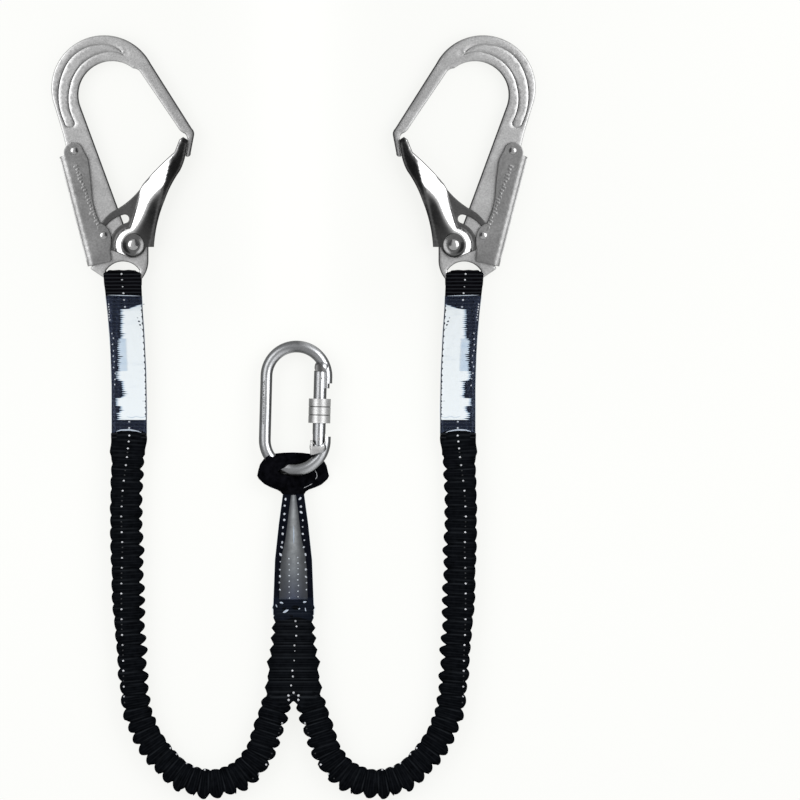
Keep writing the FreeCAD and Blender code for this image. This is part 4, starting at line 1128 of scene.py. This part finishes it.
def leg_centreline(step=0.45):
    """Positions, headings and arc length of the leg's middle line.

    A short run at its start is tucked into the junction.
    """
    x, y = LEG_START
    heading = math.radians(LEG_HEADING)
    x -= 3.0 * math.sin(heading)
    y += 3.0 * math.cos(heading)
    out = [(x, y, heading, -3.0)]
    s = -3.0
    for length, turn in [(3.0, 0.0)] + LEG_STRETCHES:
        count = int(length / step)
        for _ in range(count):
            mid = heading + math.radians(turn) / count / 2
            x += length / count * math.sin(mid)
            y -= length / count * math.cos(mid)
            heading += math.radians(turn) / count
            s += length / count
            out.append((x, y, heading, s))
    return np.array(out)


LEG = leg_centreline()
PHASE_S = np.arange(-5.0, 430.0, 0.5)
PITCH = np.interp(PHASE_S, (0, 205, 240, 330, 360, 430), (10.2, 10.1, 9.0, 9.0, 9.6, 9.6))
PHASE_V = np.cumsum(0.5 / PITCH)
PHASE_V += 1.5 - np.interp(31.0, PHASE_S, PHASE_V)
CREST_GAIN = 1 + 0.16 * rng.normal(0, 1, 64)
SPOTS = {"inner_base": (0, 60, 100, 140, 185, 215, 245, 330, 360, 430),
         "base": (10.5, 10.5, 10.0, 8.5, 8.2, 9.0, 10.4, 10.2, 9.0, 8.0),
         "amp": (3.1, 3.1, 3.6, 4.9, 4.8, 4.0, 1.2, 1.4, 1.9, 1.9)}


def ruffle_phase(s):
    """Gather count along the leg: whole numbers are the folds, halves are the crests."""
    return np.interp(s, PHASE_S, PHASE_V) + 0.04 * np.sin(s * 0.19)


def scallop(phase, sharp=1.0):
    """Rounded crest with a sharp valley, 0 in the valley and 1 on the crest."""
    return np.abs(np.sin(np.pi * phase)) ** sharp


def jacket_ring(s):
    """One cross-section of the jacket: across, up and along offsets."""
    angles = np.linspace(0, 2 * np.pi, 72, endpoint=False)
    ca, sa = np.cos(angles), np.sin(angles)
    gathered = float(smoothstep(s, 14.0, 19.0))
    tucked = float(smoothstep(s, LEG_END + 7.0, LEG_END + 16.0))
    phase = ruffle_phase(s)
    gain = CREST_GAIN[int(math.floor(phase)) % 64]
    gain_out = CREST_GAIN[(int(math.floor(phase + 0.3)) + 17) % 64]
    crest = scallop(phase, 1.1)
    shift = np.interp(s, (0, 190, 230, 430), (0.32, 0.3, 0.0, 0.0))
    crest_out = scallop(phase + shift, 0.85)
    inner = np.interp(s, SPOTS["inner_base"], SPOTS["base"]) + np.interp(s, SPOTS["inner_base"],
                                                                         SPOTS["amp"]) * crest * gain
    outer_low = np.interp(s, (0, 130, 165, 205, 240, 330, 350, 430),
                          (11.7, 11.7, 10.0, 9.0, 7.5, 7.8, 9.6, 10.8))
    outer_amp = np.interp(s, (0, 130, 165, 205, 240, 330, 350, 430), (1.5, 1.5, 1.8, 2.6, 4.7, 4.6, 3.8, 3.8))
    outer = outer_low + outer_amp * crest_out * gain_out
    inner = gathered * inner + (1 - gathered) * (14.2 + 0.5 * math.sin(s * 0.35 + 0.6))
    outer = gathered * outer + (1 - gathered) * (14.2 + 0.3 * math.sin(s * 0.4 + 2.0))
    inner *= 1 - 0.28 * tucked
    outer *= 1 - 0.28 * tucked
    rib = 0.26 * abs(math.sin(math.pi * s / 2.04)) ** 0.6
    high = (7.1 + gathered * 1.5 * scallop(phase, 0.7) - 0.9 * (1 - gathered)) * (1 - 0.25 * tucked)
    shape = np.sign(sa) * np.abs(sa) ** 0.72
    wide = np.where(ca > 0, inner, outer)
    pucker = 0.3 * np.sin(3.1 * ca + s * 0.37) + 0.22 * np.sin(7.3 * ca + 2.6 * phase)
    px = wide * ca
    pz = np.maximum((high + rib + pucker * gathered) * shape, -8.7)
    along = gathered * 0.4 * np.sin(2 * np.pi * phase + 2.2 * ca) * np.abs(ca) ** 1.5
    arch = -2.6 * (1 - ca**2) * (1 - smoothstep(s, -3.0, 7.0))
    return px, pz, along + arch


def leg_point(s, across, lift=0.0):
    """Point on top of the jacket at a distance across from its middle line."""
    x, y, heading = (np.interp(s, LEG[:, 3], LEG[:, k]) for k in range(3))
    px, pz, _ = jacket_ring(s)
    order = np.argsort(px[1:36])
    across = float(np.clip(across, px.min() + 0.5, px.max() - 0.5))
    z = float(np.interp(across, px[1:36][order], pz[1:36][order]))
    return (x + across * math.cos(heading), y + across * math.sin(heading), HOOK[2] + z + lift), heading


def follow_leg(obj):
    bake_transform(obj)


def sweep_leg(section, start, end, step=2):
    """Skin of one section carried along the leg."""
    rings = []
    for x, y, heading, s in LEG[::step]:
        if not start <= s <= end:
            continue
        px, pz, along = section(s)
        c, d = math.cos(heading), math.sin(heading)
        rings.append(np.c_[x + c * px + d * along, y + d * px - c * along, pz + HOOK[2]])
    return loft(rings)


def painted_fold_light(s):
    """Painted highlight on the jacket: light pairs beside each fold and a finer set between, shaded off
    towards the sides.
    """
    frac = (ruffle_phase(s) + 0.5) % 1.0 - 0.5
    ca = np.cos(np.linspace(0, 2 * np.pi, 72, endpoint=False))
    pair = math.exp(-((frac - 0.12) / 0.035) ** 2) + math.exp(-((frac + 0.13) / 0.035) ** 2)
    fine = 0.3 * abs(math.sin(math.pi * s / 2.04)) ** 5
    gathered = float(smoothstep(s, 14.0, 19.0))
    level = gathered * (0.75 * pair + fine) + (1 - gathered) * 0.5 * abs(math.sin(math.pi * s / 2.9)) ** 5
    return level * (1 - 0.8 * np.abs(ca) ** 3) * (0.55 + 0.45 * np.sin(1.7 * s + 2.0 * ca))


def build_leg_jacket(side, sign):
    verts, faces = sweep_leg(jacket_ring, -0.6, 500.0, 1)
    verts, faces = mirrored(verts, faces, sign)
    painted_rib_light = np.concatenate([painted_fold_light(s) for s in LEG[:, 3] if -0.6 <= s <= 500.0])
    nodes = [side + "_leg_jacket_upper", side + "_leg_jacket_lower"]
    obj = make_object(side + "_leg_jacket", verts, faces, JACKET, None, nodes, "black_elastic_jacket", 70)
    set_values(obj, "painted_rib_light", painted_rib_light)
    follow_leg(obj)


def build_leg_core(side, sign):
    """Folded tear strap and the two elastic cords that run inside the jacket."""
    def strap(s):
        section = dense_section(7.6, 1.5 + 0.12 * math.sin(s * 2.1), 1.2, 14)
        return section[:, 0], section[:, 1] + 1.4 + 0.5 * math.sin(s * 0.6), 0.0 * section[:, 0]
    verts, faces = sweep_leg(strap, 4.0, LEG_END - 2.0)
    verts, faces = mirrored(verts, faces, sign)
    obj = make_object(side + "_tear_strap", verts, faces, STRAP, None,
                      [side + "_tear_webbing_upper", side + "_tear_webbing_lower"], "white_webbing", 60)
    follow_leg(obj)
    cords = []
    for offset in (-3.6, 3.6):
        def cord(s, offset=offset):
            a = np.linspace(0, 2 * np.pi, 14, endpoint=False)
            r = 1.45 + 0.08 * math.sin(s * 3.3)
            return offset + r * np.cos(a), r * np.sin(a) - 3.4, 0.0 * a
        cords.append(sweep_leg(cord, 4.0, LEG_END - 2.0))
    verts, faces = join_meshes(cords)
    verts, faces = mirrored(verts, faces, sign)
    obj = make_object(side + "_elastic_cords", verts, faces, CORD, None,
                      [side + "_elastic_cords_upper", side + "_elastic_cords_lower"], "elastic_rubber", 60)
    follow_leg(obj)


def build_leg_tracer(side, sign):
    """White tracer picks woven into the jacket: bright, two faint, bright, then a gap, every two gathers."""
    marks = [(0.2, True), (5.0, True), (10.6, True), (13.8, False), (17.6, True)]
    for k in range(20):
        marks += [(24.0 + 20.5 * k + shift, strong) for shift, strong in
                  ((0.0, True), (4.3, False), (8.0, False), (12.6, True))]
    groups = {True: ([], []), False: ([], [])}
    for s, strong in marks:
        if s > LEG_END - 1 or 216 < s < 262:
            continue
        drift = np.interp(s,
                (0, 17, 24, 37, 45, 65, 90, 118, 150, 175, 200, 215, 262, 275, 300, 318, 332, 345, 390),
                          (0.3, -0.4, -1.0, -2.2, -3.0, -4.0, -3.4, -5.0, -6.0, -6.4, -8.0, -9.0,
                           10.0, 10.6, 10.8, 9.0, -8.0, -10.2, -10.6))
        if 309 < s < 334:
            continue
        point, heading = leg_point(s, drift, 0.5 if s > 262 else 0.1)
        groups[strong][0].append(point)
        groups[strong][1].append(heading)
    for strong, name, mat, radius in ((True, "leg_tracer", THREAD, 0.85),
                                      (False, "leg_tracer_faint", FAINT, 0.7)):
        points, heads = groups[strong]
        verts, faces = dots(points, radius, 0.5, 0.9, heads)
        verts, faces = mirrored(verts, faces, sign)
        obj = make_object(side + "_" + name, verts, faces, mat, None, [], "pale_thread", 60)
        follow_leg(obj)


# ------------------------------------------------------------------ junction and centre

EDGE_Y = (-234.5, -228.5, -224.5, -219.9, -215.9, -210.3, -207.3, -201.3, -195.2, -190.7, -185.6, -181.4,
          -176.3, -172.1, -168.4, -163.8, -160.2, -155.6, -152.3, -148.5, -145.5)
EDGE_X = (26.9, 23.6, 24.5, 21.2, 23.1, 20.2, 20.9, 19.2, 21.5, 17.6, 19.2, 15.9, 18.4, 14.9, 17.6, 14.6,
          16.2,
          14.9, 17.0, 15.6, 15.6)
FOLD_Y = (-155.6, -163.8, -172.1, -181.4, -190.7, -201.3, -210.3, -219.9, -228.5)


def build_junction():
    rings = []
    painted_rib_light = []
    ys = np.unique(np.r_[np.arange(-226.6, -146.0, 0.4), [y for y in EDGE_Y if y > -226.6]])
    for y in ys:
        half = float(np.interp(y, EDGE_Y, EDGE_X))
        fold = min(abs(y - f) for f in FOLD_Y)
        crest = smoothstep(fold, 0.0, 3.6)
        section = dense_section(1.0, 1.0, 0.3, 60)
        xs = section[:, 0] * half
        rib = 0.24 * abs(math.sin(math.pi * y / 2.04)) ** 0.6
        high = 7.0 + 1.3 * crest - 1.8 * smoothstep(y, -154, -147) + rib + 0.25 * np.sin(xs * 0.5 + y * 0.7)
        edge = np.abs(section[:, 0])
        high = high * np.sqrt(np.maximum(1 - 0.8 * edge**5, 0.1))
        valley = 2.4 * smoothstep(-y, 200.0, 226.0) * np.exp(-(xs / 4.0) ** 2)
        zs = section[:, 1] * (high - valley)
        notch = 6.0 * np.minimum(np.abs(xs) / 6.0, 1.0) * smoothstep(-y, 217.0, 226.6)
        rings.append(np.c_[xs, y - notch, np.maximum(zs, -8.8) + HOOK[2]])
        # Painted highlight beside each fold and on the ribs, shaded off towards the sides.
        near = min((y - f for f in FOLD_Y), key=abs)
        level = 0.7 * (math.exp(-((near - 1.2) / 0.4) ** 2) + math.exp(-((near + 1.3) / 0.4) ** 2))
        painted_rib_light.append((level + 0.25 * abs(math.sin(math.pi * y / 2.04)) ** 5) * (1 - 0.7 * np.abs(section[:,
                0]) ** 3))
    verts, faces = loft(rings)
    obj = make_object("junction_gathers", verts, faces, JACKET, "yoke", ["leg_junction_cover"],
                      "black_elastic_jacket", 70)
    set_values(obj, "painted_rib_light", np.concatenate(painted_rib_light))
    points = [(1.6, -162.9), (2.4, -167.2), (2.1, -174.6), (0.8, -182.4), (1.1, -186.8), (0.5, -194.6),
              (-0.9, -202.6), (-0.5, -207.2), (-1.9, -214.4)]
    verts, faces = dots([(x, y, HOOK[2] + 8.0) for x, y in points], 0.8, 0.9)
    crotch = dots([(0.0, -220.2, HOOK[2] + 6.6), (-4.0, -222.5, HOOK[2] + 7.4), (4.0, -222.5, HOOK[2] + 7.4),
                   (-3.9, -226.0, HOOK[2] + 7.4), (3.9, -226.0, HOOK[2] + 7.4)], 1.0, 1.1)
    verts, faces = join_meshes([(verts, faces), crotch])
    make_object("junction_tracer", verts, faces, THREAD, "yoke", [], "pale_thread", 60)


def centre_half(y):
    return np.interp(y, (-152.0, -146.0, -114.0, -85.0, -60.0), (16.5, 16.3, 15.1, 12.0, 8.6))


def build_centre():
    rings = []
    for y in np.arange(-158.0, -55.0, 1.0):
        half = centre_half(y) - 0.3
        section = dense_section(half, 4.6, 2.2, 30)
        rings.append(np.c_[section[:, 0], np.full(len(section), y), section[:, 1] + HOOK[2]])
    verts, faces = loft(rings)
    make_object("centre_webbing", verts, faces, LOOP_BLACK, "yoke", ["centre_webbing_stack"],
                "black_webbing", 60)
    rings = []
    for y in np.arange(-151.5, -61.0, 1.2):
        half = centre_half(y)
        section = dense_section(half, 6.0, 3.2, 40)
        arch = 0.9 * np.cos(section[:, 0] / half * math.pi / 2)
        ripple = 0.12 * np.sin(section[:, 0] * 1.1 + y * 0.4)
        z = section[:, 1] + np.sign(section[:, 1]) * (arch + ripple - 0.4)
        rings.append(np.c_[section[:, 0], np.full(len(section), y), z + HOOK[2]])
    verts, faces = loft(rings, caps=False)
    make_object("centre_film", verts, faces, CENTRE_FILM, "yoke", ["centre_clear_sleeve"], "clear_sleeve", 60)
    build_film_end()
    build_centre_panel()
    points = []
    for y in np.arange(-138.0, -62.0, 5.6):
        for sign in (-1, 1):
            points.append((sign * (centre_half(y) - 4.6 * smoothstep(-y, 62, 100) - 3.0 * smoothstep(y, -100,
                                                                                                     -62))
                           - 0.45 - 0.45 * sign + 0.25 * rng.normal(), y + 0.4 * rng.normal(), HOOK[2] + 4.7))
    turns = rng.uniform(-0.9, 0.9, len(points))
    sizes = rng.uniform(0.55, 1.0, len(points))
    outer = join_meshes([dots([point], size, 0.7, rng.uniform(0.9, 1.7), [turn])
                         for point, size, turn in zip(points, sizes, turns)])
    points = []
    for y in np.arange(-149.0, -112.0, 4.5):
        points.append((-3.4 + 0.15 * rng.normal(), y, HOOK[2] + 5.1))
        points.append((3.6 + 0.15 * rng.normal(), y + 1.0, HOOK[2] + 5.1))
    inner = dots(points, 0.6, 0.5, 1.0)
    verts, faces = join_meshes([outer, inner])
    make_object("centre_stitches", verts, faces, THREAD, "yoke", ["centre_stitching"], "pale_thread", 60)


def build_film_end():
    """Loose creased end of the clear sleeve over the first gathers."""
    rings = []
    for y in np.arange(-160.6, -144.0, 0.5):
        t = (y + 160.6) / 16.6
        half = float(np.interp(y, (-160.6, -158.5, -152.0, -146.5, -144.0), (15.6, 16.3, 17.6, 15.9, 16.4)))
        section = dense_section(half, 8.9, 3.0, 60)
        u = section[:, 0] / half
        fold = 0.55 * np.sin(5.0 * u + 3.0 * t) * np.sin(9.0 * t + 2.0 * u) + 0.35 * np.sin(11.0 * u - 6.0
                                                                                            * t)
        z = section[:, 1] + np.sign(section[:, 1]) * (fold - 1.4 * t)
        z = np.maximum(z, -8.8)
        wave = (1.1 * np.sin(4.2 * u + 0.8) - 0.8 * np.abs(u)) * (1 - t)
        rings.append(np.c_[section[:, 0], y + wave, z + HOOK[2]])
    verts, faces = loft(rings, caps=False)
    make_object("centre_film_end", verts, faces, CREASED, "yoke", [], "clear_sleeve", 60)
    # Pale ridges on the creased end stand in for glints: painted highlight.
    glints = []
    for x, y, length, turn, width in ((-6.2, -155.0, 5.5, 0.5, 0.9), (-9.6, -148.2, 3.2, -0.3, 0.7),
                                      (9.0, -147.6, 3.0, 0.2, 0.7), (9.6, -153.6, 3.2, 1.7, 0.45),
                                      (-13.6, -150.8, 2.8, -1.2, 0.4), (4.6, -153.0, 1.8, 0.6, 0.4)):
        glints.append(ridge_piece(x, y, HOOK[2] + 8.6, length, turn, width))
    verts, faces = join_meshes(glints)
    make_object("centre_film_painted_glints", verts, faces, GLINT_FILM_PAINTED, "yoke", [], "clear_sleeve", 60)


def ridge_piece(x, y, z, length, turn, width, height=0.5):
    """Short tapering fold of film."""
    rings = []
    for t in np.linspace(0.02, 0.98, 9):
        r = width * math.sin(math.pi * t) ** 0.7
        along = (t - 0.5) * length
        cx = x + along * math.cos(turn)
        cy = y + along * math.sin(turn)
        ring = []
        for a in np.linspace(0, 2 * np.pi, 8, endpoint=False):
            w = r * math.cos(a)
            ring.append((cx - w * math.sin(turn), cy + w * math.cos(turn), z + height * r * math.sin(a)))
        rings.append(ring)
    return loft(rings)


def build_centre_panel():
    """Pale tapering strip under the film: narrow at the loop, wide and dark lower down."""
    mat, nodes, links, bsdf = new_material("grey_strip")
    coords = nodes.new("ShaderNodeTexCoord")
    split = nodes.new("ShaderNodeSeparateXYZ")
    links.new(coords.outputs["Object"], split.inputs["Vector"])
    scale = nodes.new("ShaderNodeMapRange")
    scale.inputs["From Min"].default_value = -0.152
    scale.inputs["From Max"].default_value = -0.062
    links.new(split.outputs["Y"], scale.inputs["Value"])
    tone = ramp(nodes, links, scale.outputs["Result"],
                [(0.0, (0.006, 0.01, 0.025)), (0.09, (0.03, 0.036, 0.06)), (0.18, (0.06, 0.066, 0.082)),
                 (0.34, (0.14, 0.146, 0.15)), (0.5, (0.2, 0.203, 0.2)), (0.66, (0.28, 0.282, 0.275)),
                 (1.0, (0.26, 0.263, 0.26))])
    cloud = noise_node(nodes, links, 260.0, 5.0)
    mottled = ramp(nodes, links, cloud.outputs["Fac"], [(0.3, grey(0.6)), (0.7, grey(1.0))])
    # Painted glare across the strip: light in its middle, shaded dark at its sides.
    across = nodes.new("ShaderNodeAttribute")
    across.attribute_name = "glare"
    fade = ramp(nodes, links, across.outputs["Fac"],
                [(0.0, grey(0.03)), (0.35, grey(0.25)), (0.75, grey(0.75)), (1.0, grey(1.0))])
    color = multiply(nodes, links, tone.outputs["Color"], mottled.outputs["Color"])
    links.new(multiply(nodes, links, color, fade.outputs["Color"]), bsdf.inputs["Base Color"])
    bsdf.inputs["Roughness"].default_value = 0.5
    rings = []
    fades = []
    for y in np.arange(-150.0, -61.0, 1.0):
        half = np.interp(y, (-150.0, -122.0, -110.0, -98.0, -86.0, -74.0, -61.5),
                         (11.4, 10.8, 9.4, 6.6, 5.0, 3.6, 1.9))
        xs = np.linspace(-half, half, 14)
        z = 4.75 + 0.35 * np.cos(xs / half * math.pi / 2)
        upper = np.c_[xs, np.full(14, y), z + HOOK[2]]
        rings.append(np.vstack([upper, upper[::-1] - (0, 0, 0.3)]))
        fades.append(np.tile(1 - np.abs(xs / half), 2))
    verts, faces = loft(rings)
    obj = make_object("centre_strip", verts, faces, mat, "yoke", [], "black_webbing", 60)
    set_values(obj, "glare", np.concatenate(fades))
    # A thin pale ridge in the middle paints a glint.
    verts, faces = ridge_piece(0.2, -94.0, HOOK[2] + 5.2, 15.0, math.pi / 2, 0.42, 0.4)
    make_object("centre_glint", verts, faces, GLINT_FILM_PAINTED, "yoke", [], "clear_sleeve", 60)


BAG = [(-23.5, -32.8), (-20.3, -30.6), (-16.9, -29.0), (-8.0, -28.1), (0.0, -27.9), (7.0, -28.2),
       (13.2, -29.0),
       (18.2, -30.5), (22.4, -32.8), (25.0, -35.6), (26.5, -38.4), (27.3, -42.0), (27.9, -44.6),
       (28.5, -46.8),
       (27.0, -49.6), (22.4, -53.7), (17.5, -55.9), (12.2, -57.8), (9.9, -59.3), (8.6, -61.4), (-8.8, -61.4),
       (-10.6, -59.3), (-13.3, -57.8), (-18.5, -55.8), (-23.5, -53.2), (-27.8, -49.1), (-29.1, -46.6),
       (-28.3, -42.5), (-26.8, -37.4)]
MOUTH = [(-12.8, -43.2), (-9.0, -45.3), (-5.6, -46.3), (2.0, -47.1), (10.5, -45.5), (10.5, -34.35),
         (4.6, -36.56),
         (-2.1, -36.9)]


def resample(points, step=0.9, closed=True):
    pts = [tuple(p) for p in points] + ([tuple(points[0])] if closed else [])
    out = []
    for (x0, y0), (x1, y1) in zip(pts[:-1], pts[1:]):
        count = max(1, int(math.hypot(x1 - x0, y1 - y0) / step))
        out += [(x0 + (x1 - x0) * i / count, y0 + (y1 - y0) * i / count) for i in range(count)]
    return np.array(out)


def build_choke_loop():
    """Folded webbing bag round the carabiner: over the bar at the left, under it at the right."""
    outline = resample(BAG)
    mouth = resample(MOUTH)
    closed_rim = resample(BAG[2:] + [BAG[0]], closed=False)
    xy, faces = flat_mesh([outline, mouth], 1.1, edge_rows=(0.2, 0.6, 1.2, 2.0))
    x, y = xy.T
    level = 17.5 - 12.8 * smoothstep(x, -12.5, 10.5)
    gap = line_distance(xy, closed_rim, closed=False)
    roll = np.clip(gap / 5.5, 0, 1)
    top = 2.9 + (level - 2.9) * np.sqrt(np.maximum(1 - (1 - roll) ** 2, 0))
    angle = np.arctan2(y + 63.0, x)
    reach = np.hypot(x, y + 63.0)
    soft = smoothstep(gap, 1.0, 4.0) * smoothstep(line_distance(xy, mouth), 0.5, 3.0)
    top += soft * (0.5 * np.sin(angle * 11.0) * np.exp(-reach / 22.0) + 0.12 * np.abs(np.sin(reach * 1.1)))
    neck = smoothstep(-y, 55.0, 61.0)
    top = top * (1 - neck) + neck * (HOOK[2] + 5.9 - 0.035 * x**2)
    verts, shell_faces = shell(xy, faces, top, top - 1.3)
    obj = make_object("choke_front", verts, shell_faces, LOOP_BLACK, None, ["choke_loop"], "black_webbing",
                      50)
    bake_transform(obj)
    xy, faces = flat_mesh([outline], 1.6, edge_rows=(0.3, 0.9))
    x, y = xy.T
    soft = smoothstep(line_distance(xy, outline), 0.3, 3.0)
    top = 2.9 + 0.15 * soft * np.sin(x * 0.9) - 0.2 * soft
    verts, shell_faces = shell(xy, faces, top, top - 1.6)
    obj = make_object("choke_back", verts, shell_faces, LOOP_BLACK, None, [], "black_webbing", 50)
    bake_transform(obj)
    threads = []
    for path, z in (([(6.1, -57.3), (8.9, -56.0), (11.8, -54.7), (14.8, -53.0)], (12.8, 9.8, 7.0, 5.6)),
                    ([(17.3, -42.5), (18.4, -44.6), (18.9, -46.6), (18.6, -48.0), (17.6, -49.1)],
                     (5.1, 5.1, 5.1, 5.1, 5.1))):
        rings = []
        for (px, py), pz in zip(path, z):
            rings.append([(px + 0.22 * math.cos(a), py + 0.22 * math.sin(a) * 0.6, pz + 0.22 * math.sin(a))
                          for a in np.linspace(0, 2 * np.pi, 8, endpoint=False)])
        threads.append(loft(rings))
    verts, faces = join_meshes(threads)
    obj = make_object("choke_loose_thread", verts, faces, THREAD, None, [], "pale_thread", 60)
    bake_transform(obj)


# ------------------------------------------------------------------ carabiner and hidden steel

def dress_cad_nodes():
    table = {"carabiner_body": ZINC, "carabiner_gate": ZINC, "carabiner_locking_sleeve": SLEEVE_ZINC,
             "carabiner_hinge_pin": BRIGHT, "carabiner_latch_pin": BRIGHT, "carabiner_plunger": BRIGHT,
             "carabiner_gate_spring": WIRE}
    for side, _ in SIDES:
        table[side + "_gate_spring"] = WIRE
        table[side + "_lever_spring"] = WIRE
    for name, mat in table.items():
        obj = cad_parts[name]
        obj.data.materials.clear()
        obj.data.materials.append(mat)


STEM_X = -22.3
CARABINER_Z = 10.5
LEAN_ANGLE = math.radians(1.5)


def on_carabiner(points):
    """From the carabiner's own frame to the shared one."""
    x, y, z = np.asarray(points, float).T
    return np.c_[0.9 + x * math.cos(LEAN_ANGLE) + y * math.sin(LEAN_ANGLE),
                 7.4 - x * math.sin(LEAN_ANGLE) + y * math.cos(LEAN_ANGLE), z + CARABINER_Z]


def stem_top(x, y):
    """Height of the round stem's surface under a point."""
    centre = STEM_X + 0.026 * (y - 7.4)
    return CARABINER_Z + math.sqrt(max(4.75**2 - (x - centre) ** 2, 1.0)) - 0.1


def faced_block(corners, low, high):
    """Block with a flat face and broken upper edges."""
    corners = np.asarray(corners, float)
    middle = corners.mean(axis=0)
    rings = []
    for z, shrink in ((low, 1.0), (high - 0.7, 1.0), (high - 0.2, 0.96), (high, 0.9)):
        ring = middle + (corners - middle) * shrink
        rings.append(np.c_[ring, np.full(len(ring), z)])
    return loft(rings)


def build_carabiner_details():
    """Plain raised dashes along the stem, flat faces of the fork and the nose, and dark rings in the sleeve's
    grooves, which paint shade there.
    """
    points = []
    turns = []
    for y in np.arange(-5.0, 31.0, 1.5):
        for shift in (-0.75, 0.75):
            x = STEM_X + 0.026 * (y - 7.4) - 2.3 + shift + 0.2 * rng.normal()
            points.append((x, y + 0.2 * rng.normal(), stem_top(x, y)))
            turns.append(rng.uniform(-0.6, 0.6))
    verts, faces = dots(points, 0.45, 0.35, 1.3, turns)
    make_object("carabiner_marks", verts, faces, DARK_STEEL_PAINTED_SHADE, "carabiner", [], "carabiner_steel", 60)
    fork = faced_block([(13.4, -18.3), (15.2, -18.3), (15.3, -22.9), (25.4, -22.9), (24.2, -26.0),
                        (21.4, -28.2),
                        (15.6, -29.9), (13.4, -30.2)], 4.5, 18.0)
    make_object("carabiner_fork_face", *fork, SLEEVE_ZINC, "carabiner", [], "carabiner_steel", 40)
    # Dark face over the nose: painted shade of the recess there.
    nose = faced_block([(17.2, 36.8), (25.6, 36.8), (25.6, 38.8), (20.9, 43.6), (17.4, 41.9)], 9.0, 17.7)
    make_object("carabiner_nose_face_shade", *nose, DARK_STEEL_PAINTED_SHADE, "carabiner", [], "carabiner_steel", 40)
    parts = []
    turn = np.linspace(0, 2 * np.pi, 64, endpoint=False)
    for middle in (-4.9, 1.7):
        rings = []
        for radius, y in ((8.2, middle - 0.38), (8.62, middle - 0.38), (8.62, middle + 0.38),
                          (8.2, middle + 0.38)):
            rings.append(on_carabiner(np.c_[20.0 + radius * np.cos(turn), np.full(64, y),
                                            radius * np.sin(turn)]))
        parts.append(loft(rings, closed_path=True))
    verts, faces = join_meshes(parts)
    make_object("sleeve_groove_shade", verts, faces, DARK_STEEL_PAINTED_SHADE, "locking_sleeve", [], "carabiner_steel", 60)


# ------------------------------------------------------------------ stage

FLOOR_HALF = 6.0
FLOOR_Z = -0.0005
KEY_POWER = 8.0
VIEW_WIDTH = 0.64
CAMERA_AT = (0.0852, 0.014, 2.5)


def build_stage():
    """Pale floor just under the object and an even white studio."""
    mesh = bpy.data.meshes.new("floor")
    size = FLOOR_HALF
    mesh.from_pydata([(-size, -size, FLOOR_Z), (size, -size, FLOOR_Z), (size, size, FLOOR_Z),
                      (-size, size, FLOOR_Z)],
                     [], [(0, 1, 2, 3)])
    floor = bpy.data.objects.new("floor", mesh)
    bpy.context.scene.collection.objects.link(floor)
    mat, _, _, bsdf = new_material("pale_floor")
    bsdf.inputs["Base Color"].default_value = (0.1, 0.1, 0.1, 1)
    bsdf.inputs["Roughness"].default_value = 0.9
    bsdf.inputs["Specular IOR Level"].default_value = 0.1
    bsdf.inputs["Emission Color"].default_value = (0.995, 1.0, 0.975, 1)
    bsdf.inputs["Emission Strength"].default_value = 0.84
    mesh.materials.append(mat)
    world = bpy.data.worlds.new("studio")
    bpy.context.scene.world = world
    world.use_nodes = True
    background = world.node_tree.nodes["Background"]
    background.inputs["Color"].default_value = (1, 1, 1, 1)
    background.inputs["Strength"].default_value = 0.85


def area_light(name, location, target, size, power, size_y=None):
    data = bpy.data.lights.new(name, "AREA")
    data.energy = power
    data.size = size
    if size_y:
        data.shape = "RECTANGLE"
        data.size_y = size_y
    obj = bpy.data.objects.new(name, data)
    bpy.context.scene.collection.objects.link(obj)
    obj.location = location
    direction = Vector(target) - Vector(location)
    obj.rotation_euler = direction.to_track_quat("-Z", "Y").to_euler()


def dark_flag(name, corners):
    """Black card seen only in reflections."""
    mesh = bpy.data.meshes.new(name)
    mesh.from_pydata(corners, [], [(0, 1, 2, 3)])
    obj = bpy.data.objects.new(name, mesh)
    bpy.context.scene.collection.objects.link(obj)
    mat, _, _, bsdf = new_material(name)
    bsdf.inputs["Base Color"].default_value = (0.02, 0.02, 0.02, 1)
    bsdf.inputs["Roughness"].default_value = 1.0
    bsdf.inputs["Specular IOR Level"].default_value = 0.0
    bsdf.inputs["Emission Color"].default_value = (0.1, 0.1, 0.105, 1)
    bsdf.inputs["Emission Strength"].default_value = 1.0
    mesh.materials.append(mat)
    obj.visible_camera = False
    obj.visible_diffuse = False


def build_light_and_camera():
    area_light("key_left", (-0.75, 0.34, 0.85), (-0.13, 0.2, 0), 0.9, KEY_POWER, 0.8)
    area_light("key_right", (0.75, 0.34, 0.85), (0.13, 0.2, 0), 0.9, KEY_POWER, 0.8)
    dark_flag("flag_middle", [(0, 0.09, 0.045), (0, 0.5, 0.045), (0, 0.5, 0.62), (0, 0.09, 0.62)])
    camera_data = bpy.data.cameras.new("camera")
    camera_data.type = "ORTHO"
    camera_data.ortho_scale = VIEW_WIDTH
    camera = bpy.data.objects.new("camera", camera_data)
    bpy.context.scene.collection.objects.link(camera)
    camera.location = CAMERA_AT
    camera_data.clip_end = 20
    bpy.context.scene.camera = camera
    bpy.context.scene.view_settings.view_transform = "Standard"


for side, sign in SIDES:
    build_plate(side, sign)
    build_gate(side, sign)
    build_lever(side, sign)
    build_rivets(side, sign)
    build_hook_webbing(side, sign)
    build_hook_sleeve(side, sign)
    build_label(side, sign)
    build_hook_stitches(side, sign)
    build_leg_jacket(side, sign)
    build_leg_core(side, sign)
    build_leg_tracer(side, sign)
build_junction()
build_centre()
build_choke_loop()
dress_cad_nodes()
build_carabiner_details()
build_stage()
build_light_and_camera()
